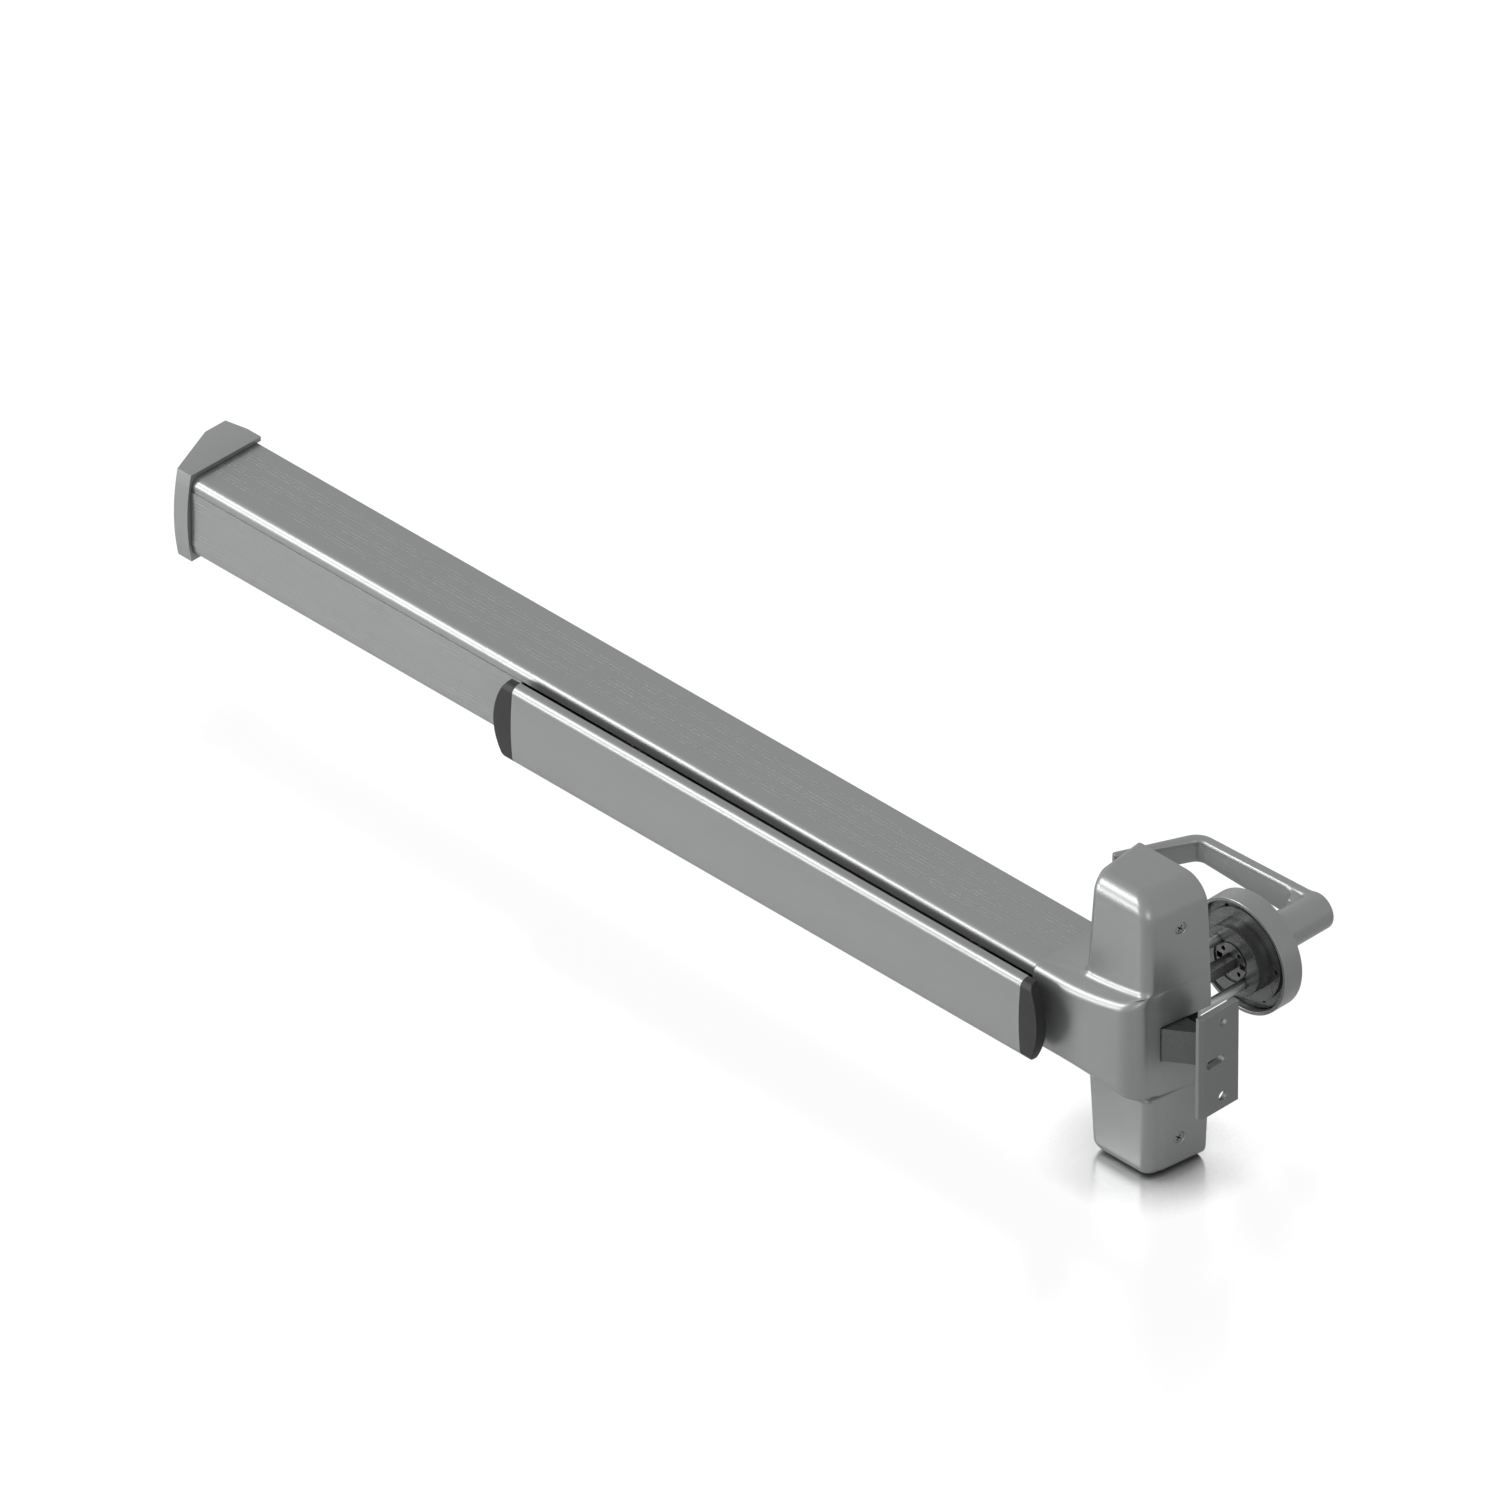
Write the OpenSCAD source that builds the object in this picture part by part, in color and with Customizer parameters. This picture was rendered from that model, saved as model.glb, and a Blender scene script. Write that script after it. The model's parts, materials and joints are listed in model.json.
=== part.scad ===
// Rim exit device: push bar, cast head with bevelled latch, outside lever trim and strike.
// X runs along the bar towards the latch, -Y faces the user, y = 0 is the door face, +Z is up.
// The origin is the centre of the head's four mounting holes, on the bar's centre line.

/* [Door and layout] */
// Door face to the back of the outside trim
door_t = 60.5; // [56:0.5:66]
// Head centre line to the far end of the end cap
bar_reach = 841; // [780:1:960]

/* [Case] */
// Height of the extruded case
case_h = 58.6; // [56:0.2:62]
// Depth of the extruded case
case_d = 58; // [56:0.5:60]
// Wall of the case
case_wall = 2; // [1.6:0.1:2.4]
// Height of each lip beside the front opening
lip_h = 8.8; // [8:0.1:10]
// Radius of the front corners of the case
case_r = 6; // [4:0.5:8]
// Depth of the decorative grooves
groove_depth = 0.5; // [0.3:0.1:0.8]
// Distance between grooves in one group
groove_pitch = 2.75; // [2:0.25:3.5]
// Distance between groove groups on the case
group_pitch = 12.6; // [11:0.2:14]
// Thickness of the sliding cover plate
cover_t = 2; // [1.5:0.1:2.4]
// How far the cover plate stands proud of the lips
cover_proud = 1; // [0.4:0.1:1.4]

/* [End] */
// Length of the straight sleeve of the end cap
sleeve_l = 12.2; // [10:0.2:16]
// Length of the sloping nose of the end cap
nose_l = 20; // [16:0.5:26]
// Wall of the end cap
cap_wall = 3.4; // [2.4:0.1:3.6]
// How far the front of the end cap bulges at mid height
cap_bulge = 3.6; // [1:0.2:5]
// Thickness of the bracket foot under the case
foot_t = 3; // [2.5:0.1:4]
// Distance between the two door holes of the end bracket
end_hole_pitch = 32; // [26:1:36]
// Radius of the door holes of the end bracket
end_hole_r = 2.6; // [2.2:0.1:3]

/* [Push pad] */
// Length of the metal part of the pad
pad_l = 449.4; // [420:0.2:480]
// Height of the pad
pad_h = 59; // [56:0.5:62]
// Thickness of the pad's sheet
pad_wall = 2; // [1.5:0.1:2.4]
// Depth of the pad from its front to the edge of its returns
pad_d = 7.8; // [7:0.1:9]
// Radius of the pad's long front edges
pad_r = 6; // [4:0.5:6.5]
// Gap between the pad's returns and the case
pad_gap = 11; // [10.6:0.1:13]
// Width of a pad cap at mid height
pad_cap_w = 15.6; // [13:0.2:18]
// Width of a pad cap at its corners
pad_cap_side = 7.2; // [5:0.2:9]

/* [Linkage] */
// Short arm of a bell crank, from pivot to pad pin
crank_in = 10.6; // [10.2:0.1:10.8]
// Long arm of a bell crank, from pivot to link pin
crank_out = 26; // [25:0.2:27]
// Half of the angle that a crank turns through
crank_swing = 21; // [17:0.5:21.5]
// Thickness of a crank
crank_t = 6; // [5:0.5:7]
// Radius of the pins at the ends of the cranks
link_pin_r = 2; // [1.6:0.1:2.2]
// Radius of the crank pivots
pivot_r = 2.5; // [2:0.1:3]
// Distance from the head centre line to the near crank pivot
near_pivot = 130; // [120:1:160]
// Distance from the head centre line to the far crank pivot
far_pivot = 430; // [400:1:450]
// Thickness of the link bar
link_t = 3; // [2.5:0.1:3.5]
// Thickness of the folded steel brackets
bracket_t = 2; // [1.5:0.1:2.4]
// How far the inner rail runs past the far pivot
rail_over = 60; // [40:5:80]
// Half height of the inner rail
rail_half = 24; // [20:0.5:26]
// Distance between the lightening holes of the inner rail
rail_hole_pitch = 50; // [40:1:60]
// Radius of the lightening holes of the inner rail
rail_hole_r = 6; // [4:0.5:9]
// Distance from the near crank pivot to the pad spring's collar
collar_off = 70; // [62:1:90]
// Room for the pad's return spring at rest
return_room = 44; // [40:1:60]

/* [Head] */
// Top of the head cover above the bar's centre line
head_top = 107.8; // [104:0.2:112]
// Bottom of the head cover below the bar's centre line
head_bot = 102.9; // [99:0.2:107]
// Half of the head cover's width at the door
head_half_w = 35; // [34:0.2:37]
// Depth of the head cover at the belly
belly_d = 64; // [63:0.2:67]
// Depth of the tower above the belly
tower_d = 48.7; // [47:0.1:51]
// Depth of the body below the belly
lower_d = 47; // [45:0.2:49]
// Half height of the neck around the case
neck_half = 30.8; // [30.4:0.1:33]
// Head centre line to the open end of the neck
neck_reach = 59; // [56:0.5:62]
// Wall of the head cover
head_wall = 2.5; // [2:0.1:3]
// Sideways draft of the head cover for each millimetre of depth
draft = 0.118; // [0.1:0.002:0.13]
// Rise of the belly's upper edge along the head
flare_up = 0.0021; // [0.001:0.0001:0.003]
// Drop of the belly's lower edge along the head
flare_down = 0.0019; // [0.001:0.0001:0.003]

/* [Latch] */
// Height of the latch bolt
latch_h = 24.4; // [22:0.2:25]
// Thickness of the latch bolt
latch_t = 20; // [18:0.5:21]
// Height of the latch centre above the bar's centre line
latch_z = 2; // [0:0.5:3]
// Reach of the latch tip from the head centre line
latch_tip = 54; // [52:0.5:56]
// Rise of the latch bevel for each millimetre along the bar
bevel = 0.664; // [0.6:0.01:0.7]
// Radius of the spring bore in the latch
latch_bore_r = 5.2; // [4.8:0.1:6]
// Clearance between the latch and its guide
latch_clear = 0.3; // [0.2:0.05:0.5]

/* [Head fastening] */
// Distance between the head's door holes along the bar
bolt_pitch_x = 36; // [32:1:38]
// Distance between the head's door holes in height
bolt_pitch_z = 140; // [134:1:144]
// Radius of the head's door holes
bolt_hole_r = 2.75; // [2.5:0.05:3]
// Thickness of the head's chassis plate
chassis_t = 2.5; // [2:0.1:3]
// Half width of the head's chassis plate
chassis_half = 26; // [24.5:0.5:27]
// Top of the head's chassis plate above the bar's centre line
chassis_up = 90; // [84:1:92]
// Bottom of the head's chassis plate below the bar's centre line
chassis_down = 86; // [82:1:88]
// Depth of the cover screws behind the user face of the door
cover_screw_y = 22; // [18:0.5:24]
// Height of the upper cover screws
cover_screw_up = 81.6; // [78:0.2:84]
// Depth below the centre line of the lower cover screws
cover_screw_down = 78; // [74:0.2:80]

/* [Outside trim] */
// Height of the trim axis above the bar's centre line
trim_z = 4.3; // [2:0.1:6]
// Radius of the rose
rose_r = 40.6; // [38:0.2:43]
// Thickness of the rose
rose_t = 16; // [14:0.5:18]
// Radius of the spring cage
cage_r = 24.5; // [23:0.5:27]
// How far the cage reaches into the door
cage_in = 7.5; // [6:0.5:9]
// Offset of each trim post from the trim axis, along the bar
post_x = 11; // [10.5:0.1:13]
// Offset of each trim post from the trim axis, in height
post_z = 12; // [11.5:0.1:14]
// Radius of a trim post
post_r = 3.2; // [2.8:0.1:3.6]
// Depth of the threaded bore in a trim post
post_bore_l = 32; // [20:1:40]
// Radius of the lever's hub
hub_r = 12.8; // [11.5:0.1:13]
// Reach of the lever's outer face from the user face of the door
lever_reach = 133; // [126:0.5:140]
// Distance from the trim axis to the outside of the lever's bend
lever_l = 101; // [92:0.5:110]
// Length of the lever's return leg
return_l = 58; // [50:0.5:60]
// Angle of the return leg from the door's normal
return_a = 25; // [18:0.5:30]
// Thickness of the lever's grip
grip_t = 9; // [8:0.2:10]
// Half height of the grip at its bend
grip_half = 9; // [8:0.2:10]
// Across flats of the square spindle
spindle_w = 8; // [7:0.2:8.6]

/* [Strike] */
// Thickness of the strike plate
strike_t = 4.8; // [4:0.1:6]
// Outer face of the strike plate from the head centre line
strike_x = 67.6; // [66:0.2:72]
// Width of the strike plate
strike_w = 33.3; // [30:0.2:36]
// Height of the strike plate
strike_h = 75.7; // [70:0.2:82]
// Front edge of the strike plate from the door face
strike_front = 42; // [38:0.5:46]
// Radius of the strike's screw holes
strike_hole_r = 3.3; // [2.8:0.1:3.6]
// Distance between the strike's screw holes
strike_pitch = 56.6; // [52:0.2:60]
// Length of the strike's adjusting slot
slot_l = 16.2; // [14:0.2:18]
// Width of the strike's adjusting slot
slot_w = 6; // [5:0.2:7]

/* [Springs] */
// Wire diameter of the springs
wire_d = 1.2; // [0.8:0.1:1.4]
// Number of curls in the latch spring
latch_curls = 9; // [7:1:11]
// Number of curls in the pad return spring
return_curls = 10; // [8:1:11]
// Number of curls in the lever's return spring
lever_curls = 2; // [2:1:2]

/* [Hidden] */
$fn = 64;

// Clearances used throughout
slide_gap = 0.3;
run_gap = 0.05;
cut = 1;

// Case: places worked out from the door face
case_back = -foot_t;
case_front = case_back - case_d;
inner_half = case_h / 2 - case_wall;
opening_half = case_h / 2 - lip_h;
case_x0 = -bar_reach + 18;
case_x1 = -head_half_w - 1;
floor_y = case_back - case_wall;
rail_t = 2.5;
rail_y = floor_y - rail_t;

// Pad: places worked out from the case
pad_front = case_front - pad_gap - pad_d;
pad_x1 = -neck_reach + 5.8;
pad_x0 = pad_x1 - pad_l;

// Linkage: every pin place follows from the pivot and the arms
pivot_y = -41.5;
pad_travel = 2 * crank_in * sin(crank_swing);
link_travel = 2 * crank_out * sin(crank_swing);
pad_pin_dx = crank_in * cos(crank_swing);
pad_pin_y = pivot_y - crank_in * sin(crank_swing);
link_pin_dx = crank_out * sin(crank_swing);
link_pin_y = pivot_y + crank_out * cos(crank_swing);
link_z = crank_t / 2 + 0.6;
link_w = 9;
leg_z = crank_t / 2 + 1;
ear_z = 12;
drive_pin_r = 2.5;
drive_pin_x = -12;
tail_x = -22;
drive_y = -17.2;
spring_z = 5;

// Head: latch places
latch_front = -39.2;
latch_back = latch_front + latch_t;
latch_bevel_x = latch_tip - (latch_t - 4.4) / bevel;
notch_z0 = latch_z - latch_h / 2 - 0.7;
notch_z1 = latch_z + latch_h / 2 + 0.7;
guide_t = 2;
guide_x0 = -48;
guide_x1 = 24;
latch_spring_x0 = guide_x0 + guide_t;
latch_bore_x = 14;
post_places = [[-post_x, post_z], [post_x, -post_z]];

// Outside trim: depths worked out from the door
cage_y1 = door_t + 5.5;
trim_plate_t = 2;
rose_wall = 2.5;

// Echo the joint travels, in millimetres and degrees
echo(pad_travel = pad_travel, link_travel = link_travel, crank_turn = 2 * crank_swing);

// Extrude a profile drawn in (y, z) along X
module along_x(x0, x1) {
    translate([x0, 0, 0]) rotate([90, 0, 90]) linear_extrude(x1 - x0) children();
}

// Extrude a profile drawn in (x, z) along Y
module along_y(y0, y1) {
    translate([0, y1, 0]) rotate([90, 0, 0]) linear_extrude(y1 - y0) children();
}

// Extrude a profile drawn in (x, y) along Z
module along_z(z0, z1) {
    translate([0, 0, z0]) linear_extrude(z1 - z0) children();
}

module rod_x(x0, x1, r) {
    translate([x0, 0, 0]) rotate([0, 90, 0]) cylinder(h = x1 - x0, r = r);
}

module rod_y(y0, y1, r) {
    translate([0, y1, 0]) rotate([90, 0, 0]) cylinder(h = y1 - y0, r = r);
}

module rod_z(z0, z1, r) {
    translate([0, 0, z0]) cylinder(h = z1 - z0, r = r);
}

module block(low, high) {
    translate(low) cube(high - low);
}

// Section of the bar in (y, z): square at the back, round at the front corners
module bar_section(back, front, half, r) {
    translate([front + r, -half]) square([back - front - r, 2 * half]);
    translate([front, -half + r]) square([r + 0.01, 2 * (half - r)]);
    for (s = [-1, 1]) intersection() {
        translate([front + r, s * (half - r)]) circle(r);
        translate([front, s > 0 ? half - r : -half]) square([r + 0.01, r]);
    }
}

// Three small grooves side by side, cut down from a face at the given height
module groove_group(centre, half) {
    for (i = [-1:1], s = [-1, 1])
        translate([centre + i * groove_pitch - 0.4, s * half - groove_depth])
            square([0.8, 2 * groove_depth]);
}

module case_channel() {
    rib_y = case_front + case_wall + cover_t + 0.3;
    color([0.60, 0.61, 0.61]) along_x(case_x0, case_x1) difference() {
        union() {
            difference() {
                bar_section(case_back, case_front, case_h / 2, case_r);
                bar_section(floor_y, case_front + case_wall, inner_half, case_r - case_wall);
            }
            for (s = [-1, 1])
                translate([rib_y, s > 0 ? opening_half : -inner_half - 0.5])
                    square([1.5, inner_half + 0.5 - opening_half]);
        }
        translate([case_front - cut, -opening_half]) square([case_wall + 2 * cut, 2 * opening_half]);
        for (k = [-1:1])
            groove_group((case_back + case_front) / 2 + 1.3 + k * group_pitch, case_h / 2);
    }
}

module cover_plate() {
    face_y = case_front - cover_proud;
    flange_y = case_front + case_wall + 0.15;
    flange_half = inner_half - (case_r - case_wall) + 0.8;
    face_half = opening_half - 0.2;
    group_z = 12;
    color([0.62, 0.63, 0.63]) along_x(case_x0 + 4, pad_x0 - 9.4) difference() {
        union() {
            translate([face_y, -face_half]) square([flange_y - face_y + cover_t, 2 * face_half]);
            translate([flange_y, -flange_half]) square([cover_t, 2 * flange_half]);
        }
        translate([face_y + cover_t, -face_half + cover_t])
            square([flange_y - face_y + cut, 2 * (face_half - cover_t)]);
        for (k = [-1, 1], i = [-1:1])
            translate([face_y - cut, k * group_z + i * groove_pitch - 0.35])
                square([cut + 0.35, 0.7]);
    }
}

// Outline of the end cap's sleeve in (y, z), with a bulging front
function bulged(front, half, bulge, n) = concat(
    [[0, -half], [0, half]],
    [for (i = [0:n]) let (t = 1 - 2 * i / n) [front - bulge * (1 - t * t), t * half]]
);

// Solid shape of the end cap, inset from its outer faces by w
module cap_body(w) {
    x_sleeve = -bar_reach + nose_l;
    half = case_h / 2 + slide_gap + cap_wall - w;
    front = case_front - slide_gap - 0.7 + w;
    nose_half = case_h / 2 + 0.4 - w;
    nose_y = -18 + w * 0.4;
    hull() {
        along_x(x_sleeve, x_sleeve + 0.1) polygon(bulged(front, half, cap_bulge, 14));
        along_z(-nose_half, nose_half) polygon([
            [-bar_reach + w, 0],
            [-bar_reach + w, nose_y],
            [x_sleeve - 1.6 + w / 2, front + 1.5],
            [x_sleeve, 0]
        ]);
    }
}

module end_cap() {
    x_sleeve = -bar_reach + nose_l;
    half = case_h / 2 + slide_gap + cap_wall;
    front = case_front - slide_gap - 0.7;
    color([0.60, 0.61, 0.61]) difference() {
        union() {
            cap_body(0);
            along_x(x_sleeve, x_sleeve + sleeve_l) polygon(bulged(front, half, cap_bulge, 14));
        }
        intersection() {
            translate([0, cut, 0]) cap_body(cap_wall + 0.3);
            block([-bar_reach, case_front, -half], [x_sleeve, cut, half]);
        }
        along_x(x_sleeve - 2.4, x_sleeve + sleeve_l + cut)
            bar_section(cut, case_front - slide_gap, case_h / 2 + slide_gap, case_r + slide_gap);
        block([x_sleeve, case_front - cover_proud - slide_gap, -opening_half],
              [x_sleeve + sleeve_l + cut, case_front, opening_half]);
        for (s = [-1, 1])
            translate([0, -9, s * 13]) {
                rod_x(-bar_reach - cut, -bar_reach + 8, 2.2);
                rod_x(-bar_reach - cut, -bar_reach + 0.9, 4.2);
            }
    }
}

module end_bracket() {
    riser_x = -bar_reach + cap_wall + 0.6;
    hole_x = (riser_x + 2.5 + case_x0) / 2;
    color([0.55, 0.55, 0.55]) difference() {
        union() {
            block([riser_x, -foot_t, -24], [case_x0 + 30, 0, 24]);
            block([riser_x, -15, -20], [riser_x + 2.5, 0, 20]);
        }
        for (s = [-1, 1]) {
            translate([hole_x, 0, s * end_hole_pitch / 2]) rod_y(-foot_t - cut, cut, end_hole_r);
            translate([0, -9, s * 13]) rod_x(riser_x - cut, riser_x + 2.5 + cut, 1.75);
        }
    }
}

module end_cap_screws() {
    color([0.45, 0.45, 0.45]) for (s = [-1, 1])
        translate([0, -9, s * 13]) {
            rod_x(-bar_reach + 0.1, -bar_reach + 0.9, 3.9);
            rod_x(-bar_reach + 0.5, -bar_reach + 9, 1.7);
        }
}

module base_rail() {
    color([0.66, 0.66, 0.64]) difference() {
        block([-far_pivot - rail_over, rail_y, -rail_half], [-neck_reach - 4, floor_y, rail_half]);
        for (x = [-far_pivot + rail_hole_pitch:rail_hole_pitch:-near_pivot - rail_hole_pitch / 2])
            translate([x, 0, 0]) rod_y(rail_y - cut, floor_y + cut, rail_hole_r);
    }
}

// A folded bracket on the rail: a foot and two ears that hold a crank's pivot
module pivot_bracket(x) {
    foot_y = rail_y - bracket_t;
    color([0.66, 0.66, 0.64]) translate([x, 0, 0]) {
        block([-22, foot_y, -ear_z - bracket_t], [22, rail_y, ear_z + bracket_t]);
        for (z = [-ear_z - bracket_t, ear_z])
            along_z(z, z + bracket_t) difference() {
                union() {
                    polygon([[-20, foot_y + 0.01], [20, foot_y + 0.01], [7, pivot_y], [-7, pivot_y]]);
                    translate([0, pivot_y]) circle(7);
                }
                translate([0, pivot_y]) circle(pivot_r + run_gap);
                translate([0, (foot_y + pivot_y) / 2 + 2]) circle(5);
            }
    }
}

module pivot_bracket_left() {
    pivot_bracket(-far_pivot);
}

module pivot_bracket_right() {
    pivot_bracket(-near_pivot);
}

module pivot_pins() {
    end = ear_z + bracket_t;
    color([0.70, 0.70, 0.70]) for (x = [-far_pivot, -near_pivot])
        translate([x, pivot_y, 0]) {
            rod_z(-end - 1, end, pivot_r);
            rod_z(end, end + 1.5, pivot_r + 1.4);
            for (z = [-ear_z + 0.1, crank_t / 2 + 0.2])
                rod_z(z, z + ear_z - crank_t / 2 - 0.3, pivot_r + 1);
        }
}

// One bell crank, drawn at rest about its pivot
module bell_crank(x) {
    slot_in = [crank_in * cos(crank_swing) - 0.2, crank_in + 0.2];
    slot_out = [crank_out * cos(crank_swing) - 0.2, crank_out + 0.2];
    color([0.72, 0.70, 0.60]) translate([x, pivot_y, 0]) rotate([0, 0, -crank_swing])
        along_z(-crank_t / 2, crank_t / 2) difference() {
            union() {
                circle(7);
                translate([0, -4.5]) square([crank_in, 9]);
                translate([crank_in, 0]) circle(4.5);
                translate([-4.5, 0]) square([9, crank_out]);
                translate([0, crank_out]) circle(4.5);
            }
            circle(pivot_r + run_gap);
            slot_between(slot_in[0], slot_in[1], link_pin_r + slide_gap);
            rotate(90) slot_between(slot_out[0], slot_out[1], link_pin_r + slide_gap);
        }
}

// A slot along +X from a to b, with round ends of radius r
module slot_between(a, b, r) {
    translate([a, -r]) square([b - a, 2 * r]);
    for (p = [a, b])
        translate([p, 0]) circle(r);
}

module bell_crank_left() {
    bell_crank(-far_pivot);
}

module bell_crank_right() {
    bell_crank(-near_pivot);
}

module link_bar() {
    far_x = -far_pivot + link_pin_dx - 7;
    plate_x0 = drive_pin_x - link_travel - drive_pin_r - 5;
    plate_x1 = drive_pin_x + drive_pin_r + 3;
    collar_x = -near_pivot - collar_off;
    color([0.66, 0.66, 0.64]) {
        difference() {
            block([far_x, link_pin_y - link_w / 2, link_z],
                  [plate_x0 + 2, link_pin_y + link_w / 2, link_z + link_t]);
            for (x = [-far_pivot, -near_pivot])
                translate([x + link_pin_dx, link_pin_y, 0])
                    rod_z(link_z - cut, link_z + link_t + cut, link_pin_r + run_gap);
        }
        along_y(drive_y, drive_y + link_t) translate([0, latch_z]) difference() {
            translate([plate_x0, -7]) square([plate_x1 - plate_x0, 14]);
            translate([drive_pin_x - link_travel, 0])
                slot_between(0, link_travel, drive_pin_r + slide_gap);
        }
        block([collar_x, link_pin_y - 6, link_z + 0.5], [collar_x + 3, link_pin_y + 4.5, link_z + 16]);
        translate([0, link_pin_y, link_z + link_t + spring_z]) rod_x(collar_x - return_room - 14, collar_x + 1, 2.2);
    }
}

module link_pins() {
    color([0.70, 0.70, 0.70]) for (x = [-far_pivot, -near_pivot])
        translate([x + link_pin_dx, link_pin_y, 0]) {
            rod_z(-crank_t / 2 - 1, link_z + link_t, link_pin_r);
            rod_z(link_z + link_t, link_z + link_t + 1.2, link_pin_r + 1.2);
        }
}

module spring_anchor() {
    z0 = link_z + link_t + spring_z;
    x0 = -near_pivot - collar_off - return_room;
    color([0.66, 0.66, 0.64]) difference() {
        union() {
            block([x0 - bracket_t, link_pin_y - 6, z0 - 4.4], [x0, rail_y, z0 + 6]);
            block([x0 - 14, rail_y - bracket_t, z0 - 6], [x0, rail_y, z0 + 6]);
        }
        translate([0, link_pin_y, z0]) rod_x(x0 - bracket_t - cut, x0 + cut, 2.2 + slide_gap);
    }
}

// Points of an open coil about the X axis, one ring every eighth of a curl
function coil_at(a, n, turns, x0, x1, r) = let (ang = 360 * turns * a / n)
    [x0 + (x1 - x0) * a / n, r * cos(ang), r * sin(ang)];

// A coil spring as one tube, from x0 to x1 about the X axis, with six sides
module coil(x0, x1, r, turns, wire) {
    n = 8 * turns;
    sides = 6;
    pitch = (x1 - x0) / turns;
    slope = atan2(pitch, 2 * PI * r);
    points = [for (a = [0:n], s = [0:sides - 1]) let (
        c = coil_at(a, n, turns, x0, x1, r),
        ang = 360 * turns * a / n,
        e1 = [0, cos(ang), sin(ang)],
        e2 = [cos(slope), sin(slope) * sin(ang), -sin(slope) * cos(ang)],
        b = 360 * s / sides
    ) c + wire / 2 * (cos(b) * e1 + sin(b) * e2)];
    quads = [for (a = [0:n - 1], s = [0:sides - 1]) let (
        p = a * sides + s,
        q = a * sides + (s + 1) % sides
    ) [p, p + sides, q + sides, q]];
    tris = [for (f = quads, h = [0, 1]) h == 0 ? [f[0], f[1], f[2]] : [f[0], f[2], f[3]]];
    caps = concat(
        [for (s = [1:sides - 2]) [0, s, s + 1]],
        [for (s = [1:sides - 2]) [n * sides, n * sides + s + 1, n * sides + s]]
    );
    polyhedron(points = points, faces = concat(tris, caps));
    echo(least_gap_between_curls = pitch * cos(slope) - wire);
}

module pad_return_spring() {
    x1 = -near_pivot - collar_off;
    color([0.75, 0.75, 0.75]) translate([0, link_pin_y, link_z + link_t + spring_z])
        coil(x1 - return_room + wire_d / 2 + 0.2, x1 - wire_d / 2 - 0.2, 3.6, return_curls, wire_d);
}

module push_pad() {
    half = pad_h / 2;
    color([0.62, 0.63, 0.63]) along_x(pad_x0, pad_x1) difference() {
        union() {
            bar_section(pad_front + pad_d, pad_front, half, pad_r);
            translate([pad_front, 0]) pad_crown(half - pad_r);
        }
        bar_section(pad_front + pad_d + cut, pad_front + pad_wall, half - pad_wall, pad_r - pad_wall);
    }
}

// The slight crown of the pad's front, as a flat arc
module pad_crown(half) {
    rise = 1.2;
    r = (half * half + rise * rise) / (2 * rise);
    intersection() {
        translate([r - rise, 0]) circle(r, $fn = 360);
        translate([-rise - cut, -half]) square([rise + cut + 0.5, 2 * half]);
    }
}

// Profile of a pad cap in (x, z): straight against the pad, bowed outwards
module cap_bow() {
    rise = pad_cap_w - pad_cap_side;
    half = pad_h / 2;
    r = (half * half + rise * rise) / (2 * rise);
    intersection() {
        translate([pad_cap_w - r, 0]) circle(r, $fn = 180);
        translate([0, -half]) square([pad_cap_w + cut, 2 * half]);
    }
}

// A pad cap drawn to the right of x = 0
module pad_cap() {
    half = pad_h / 2;
    plug = pad_wall + 0.2;
    plug_d = pad_d - 0.8;
    plug_r = min(pad_r - pad_wall, plug_d - plug - 0.2);
    intersection() {
        along_x(-cut, pad_cap_w + cut) union() {
            bar_section(pad_front + pad_d, pad_front, half, pad_r);
            translate([pad_front, 0]) pad_crown(half - pad_r);
        }
        along_y(pad_front - 2, pad_front + pad_d) cap_bow();
    }
    along_x(-8, 0.01) bar_section(pad_front + plug_d, pad_front + plug, half - plug, plug_r);
}

module pad_cap_left() {
    color([0.28, 0.29, 0.28]) translate([pad_x0, 0, 0]) mirror([1, 0, 0]) pad_cap();
}

module pad_cap_right() {
    color([0.28, 0.29, 0.28]) translate([pad_x1, 0, 0]) pad_cap();
}

// A bracket riveted inside the pad, with two legs that reach a crank
module pad_bracket(x) {
    web_y = pad_front + pad_wall;
    end_r = 4.6;
    color([0.66, 0.66, 0.64]) translate([x + pad_pin_dx, 0, 0]) {
        block([-16, web_y, -18], [16, web_y + bracket_t, 18]);
        for (z = [-leg_z - bracket_t, leg_z])
            along_z(z, z + bracket_t) difference() {
                union() {
                    polygon([[-12, web_y + 1], [12, web_y + 1], [end_r, pad_pin_y], [-end_r, pad_pin_y]]);
                    translate([0, pad_pin_y]) circle(end_r);
                }
                translate([0, pad_pin_y]) circle(link_pin_r + run_gap);
            }
    }
}

module pad_bracket_left() {
    pad_bracket(-far_pivot);
}

module pad_bracket_right() {
    pad_bracket(-near_pivot);
}

module pad_pins() {
    end = leg_z + bracket_t;
    color([0.70, 0.70, 0.70]) for (x = [-far_pivot, -near_pivot])
        translate([x + pad_pin_dx, pad_pin_y, 0]) {
            rod_z(-end - 1, end, link_pin_r);
            rod_z(end, end + 1.2, link_pin_r + 1.2);
        }
}

// Head cover. Its skin is a grid: each column goes round the head from the back of one
// side to the back of the other, and each row is a line at one level of the profile.
// Inset w gives the inner skin.

cove_r = 3.2;
shelf_a = 31;
edge_r = 4.5;
top_front_r = 13;
low_front_r = 9.5;

// Shrink of a half width near a rounded end, at distance d from the end
function corner_in(d, r) = d >= r ? 0 : r - sqrt(max(0, r * r - (r - d) * (r - d)));

// Half width of the head at the door, at height z
function half_w(z) = head_half_w - 0.05 * max(0, abs(z - latch_z) - 20);

// Depth of the tower or lower body at height z
function body_d(z) = z > 0 ? tower_d + 0.045 * (50 - z) : lower_d + 0.03 * (50 + z);

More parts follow.
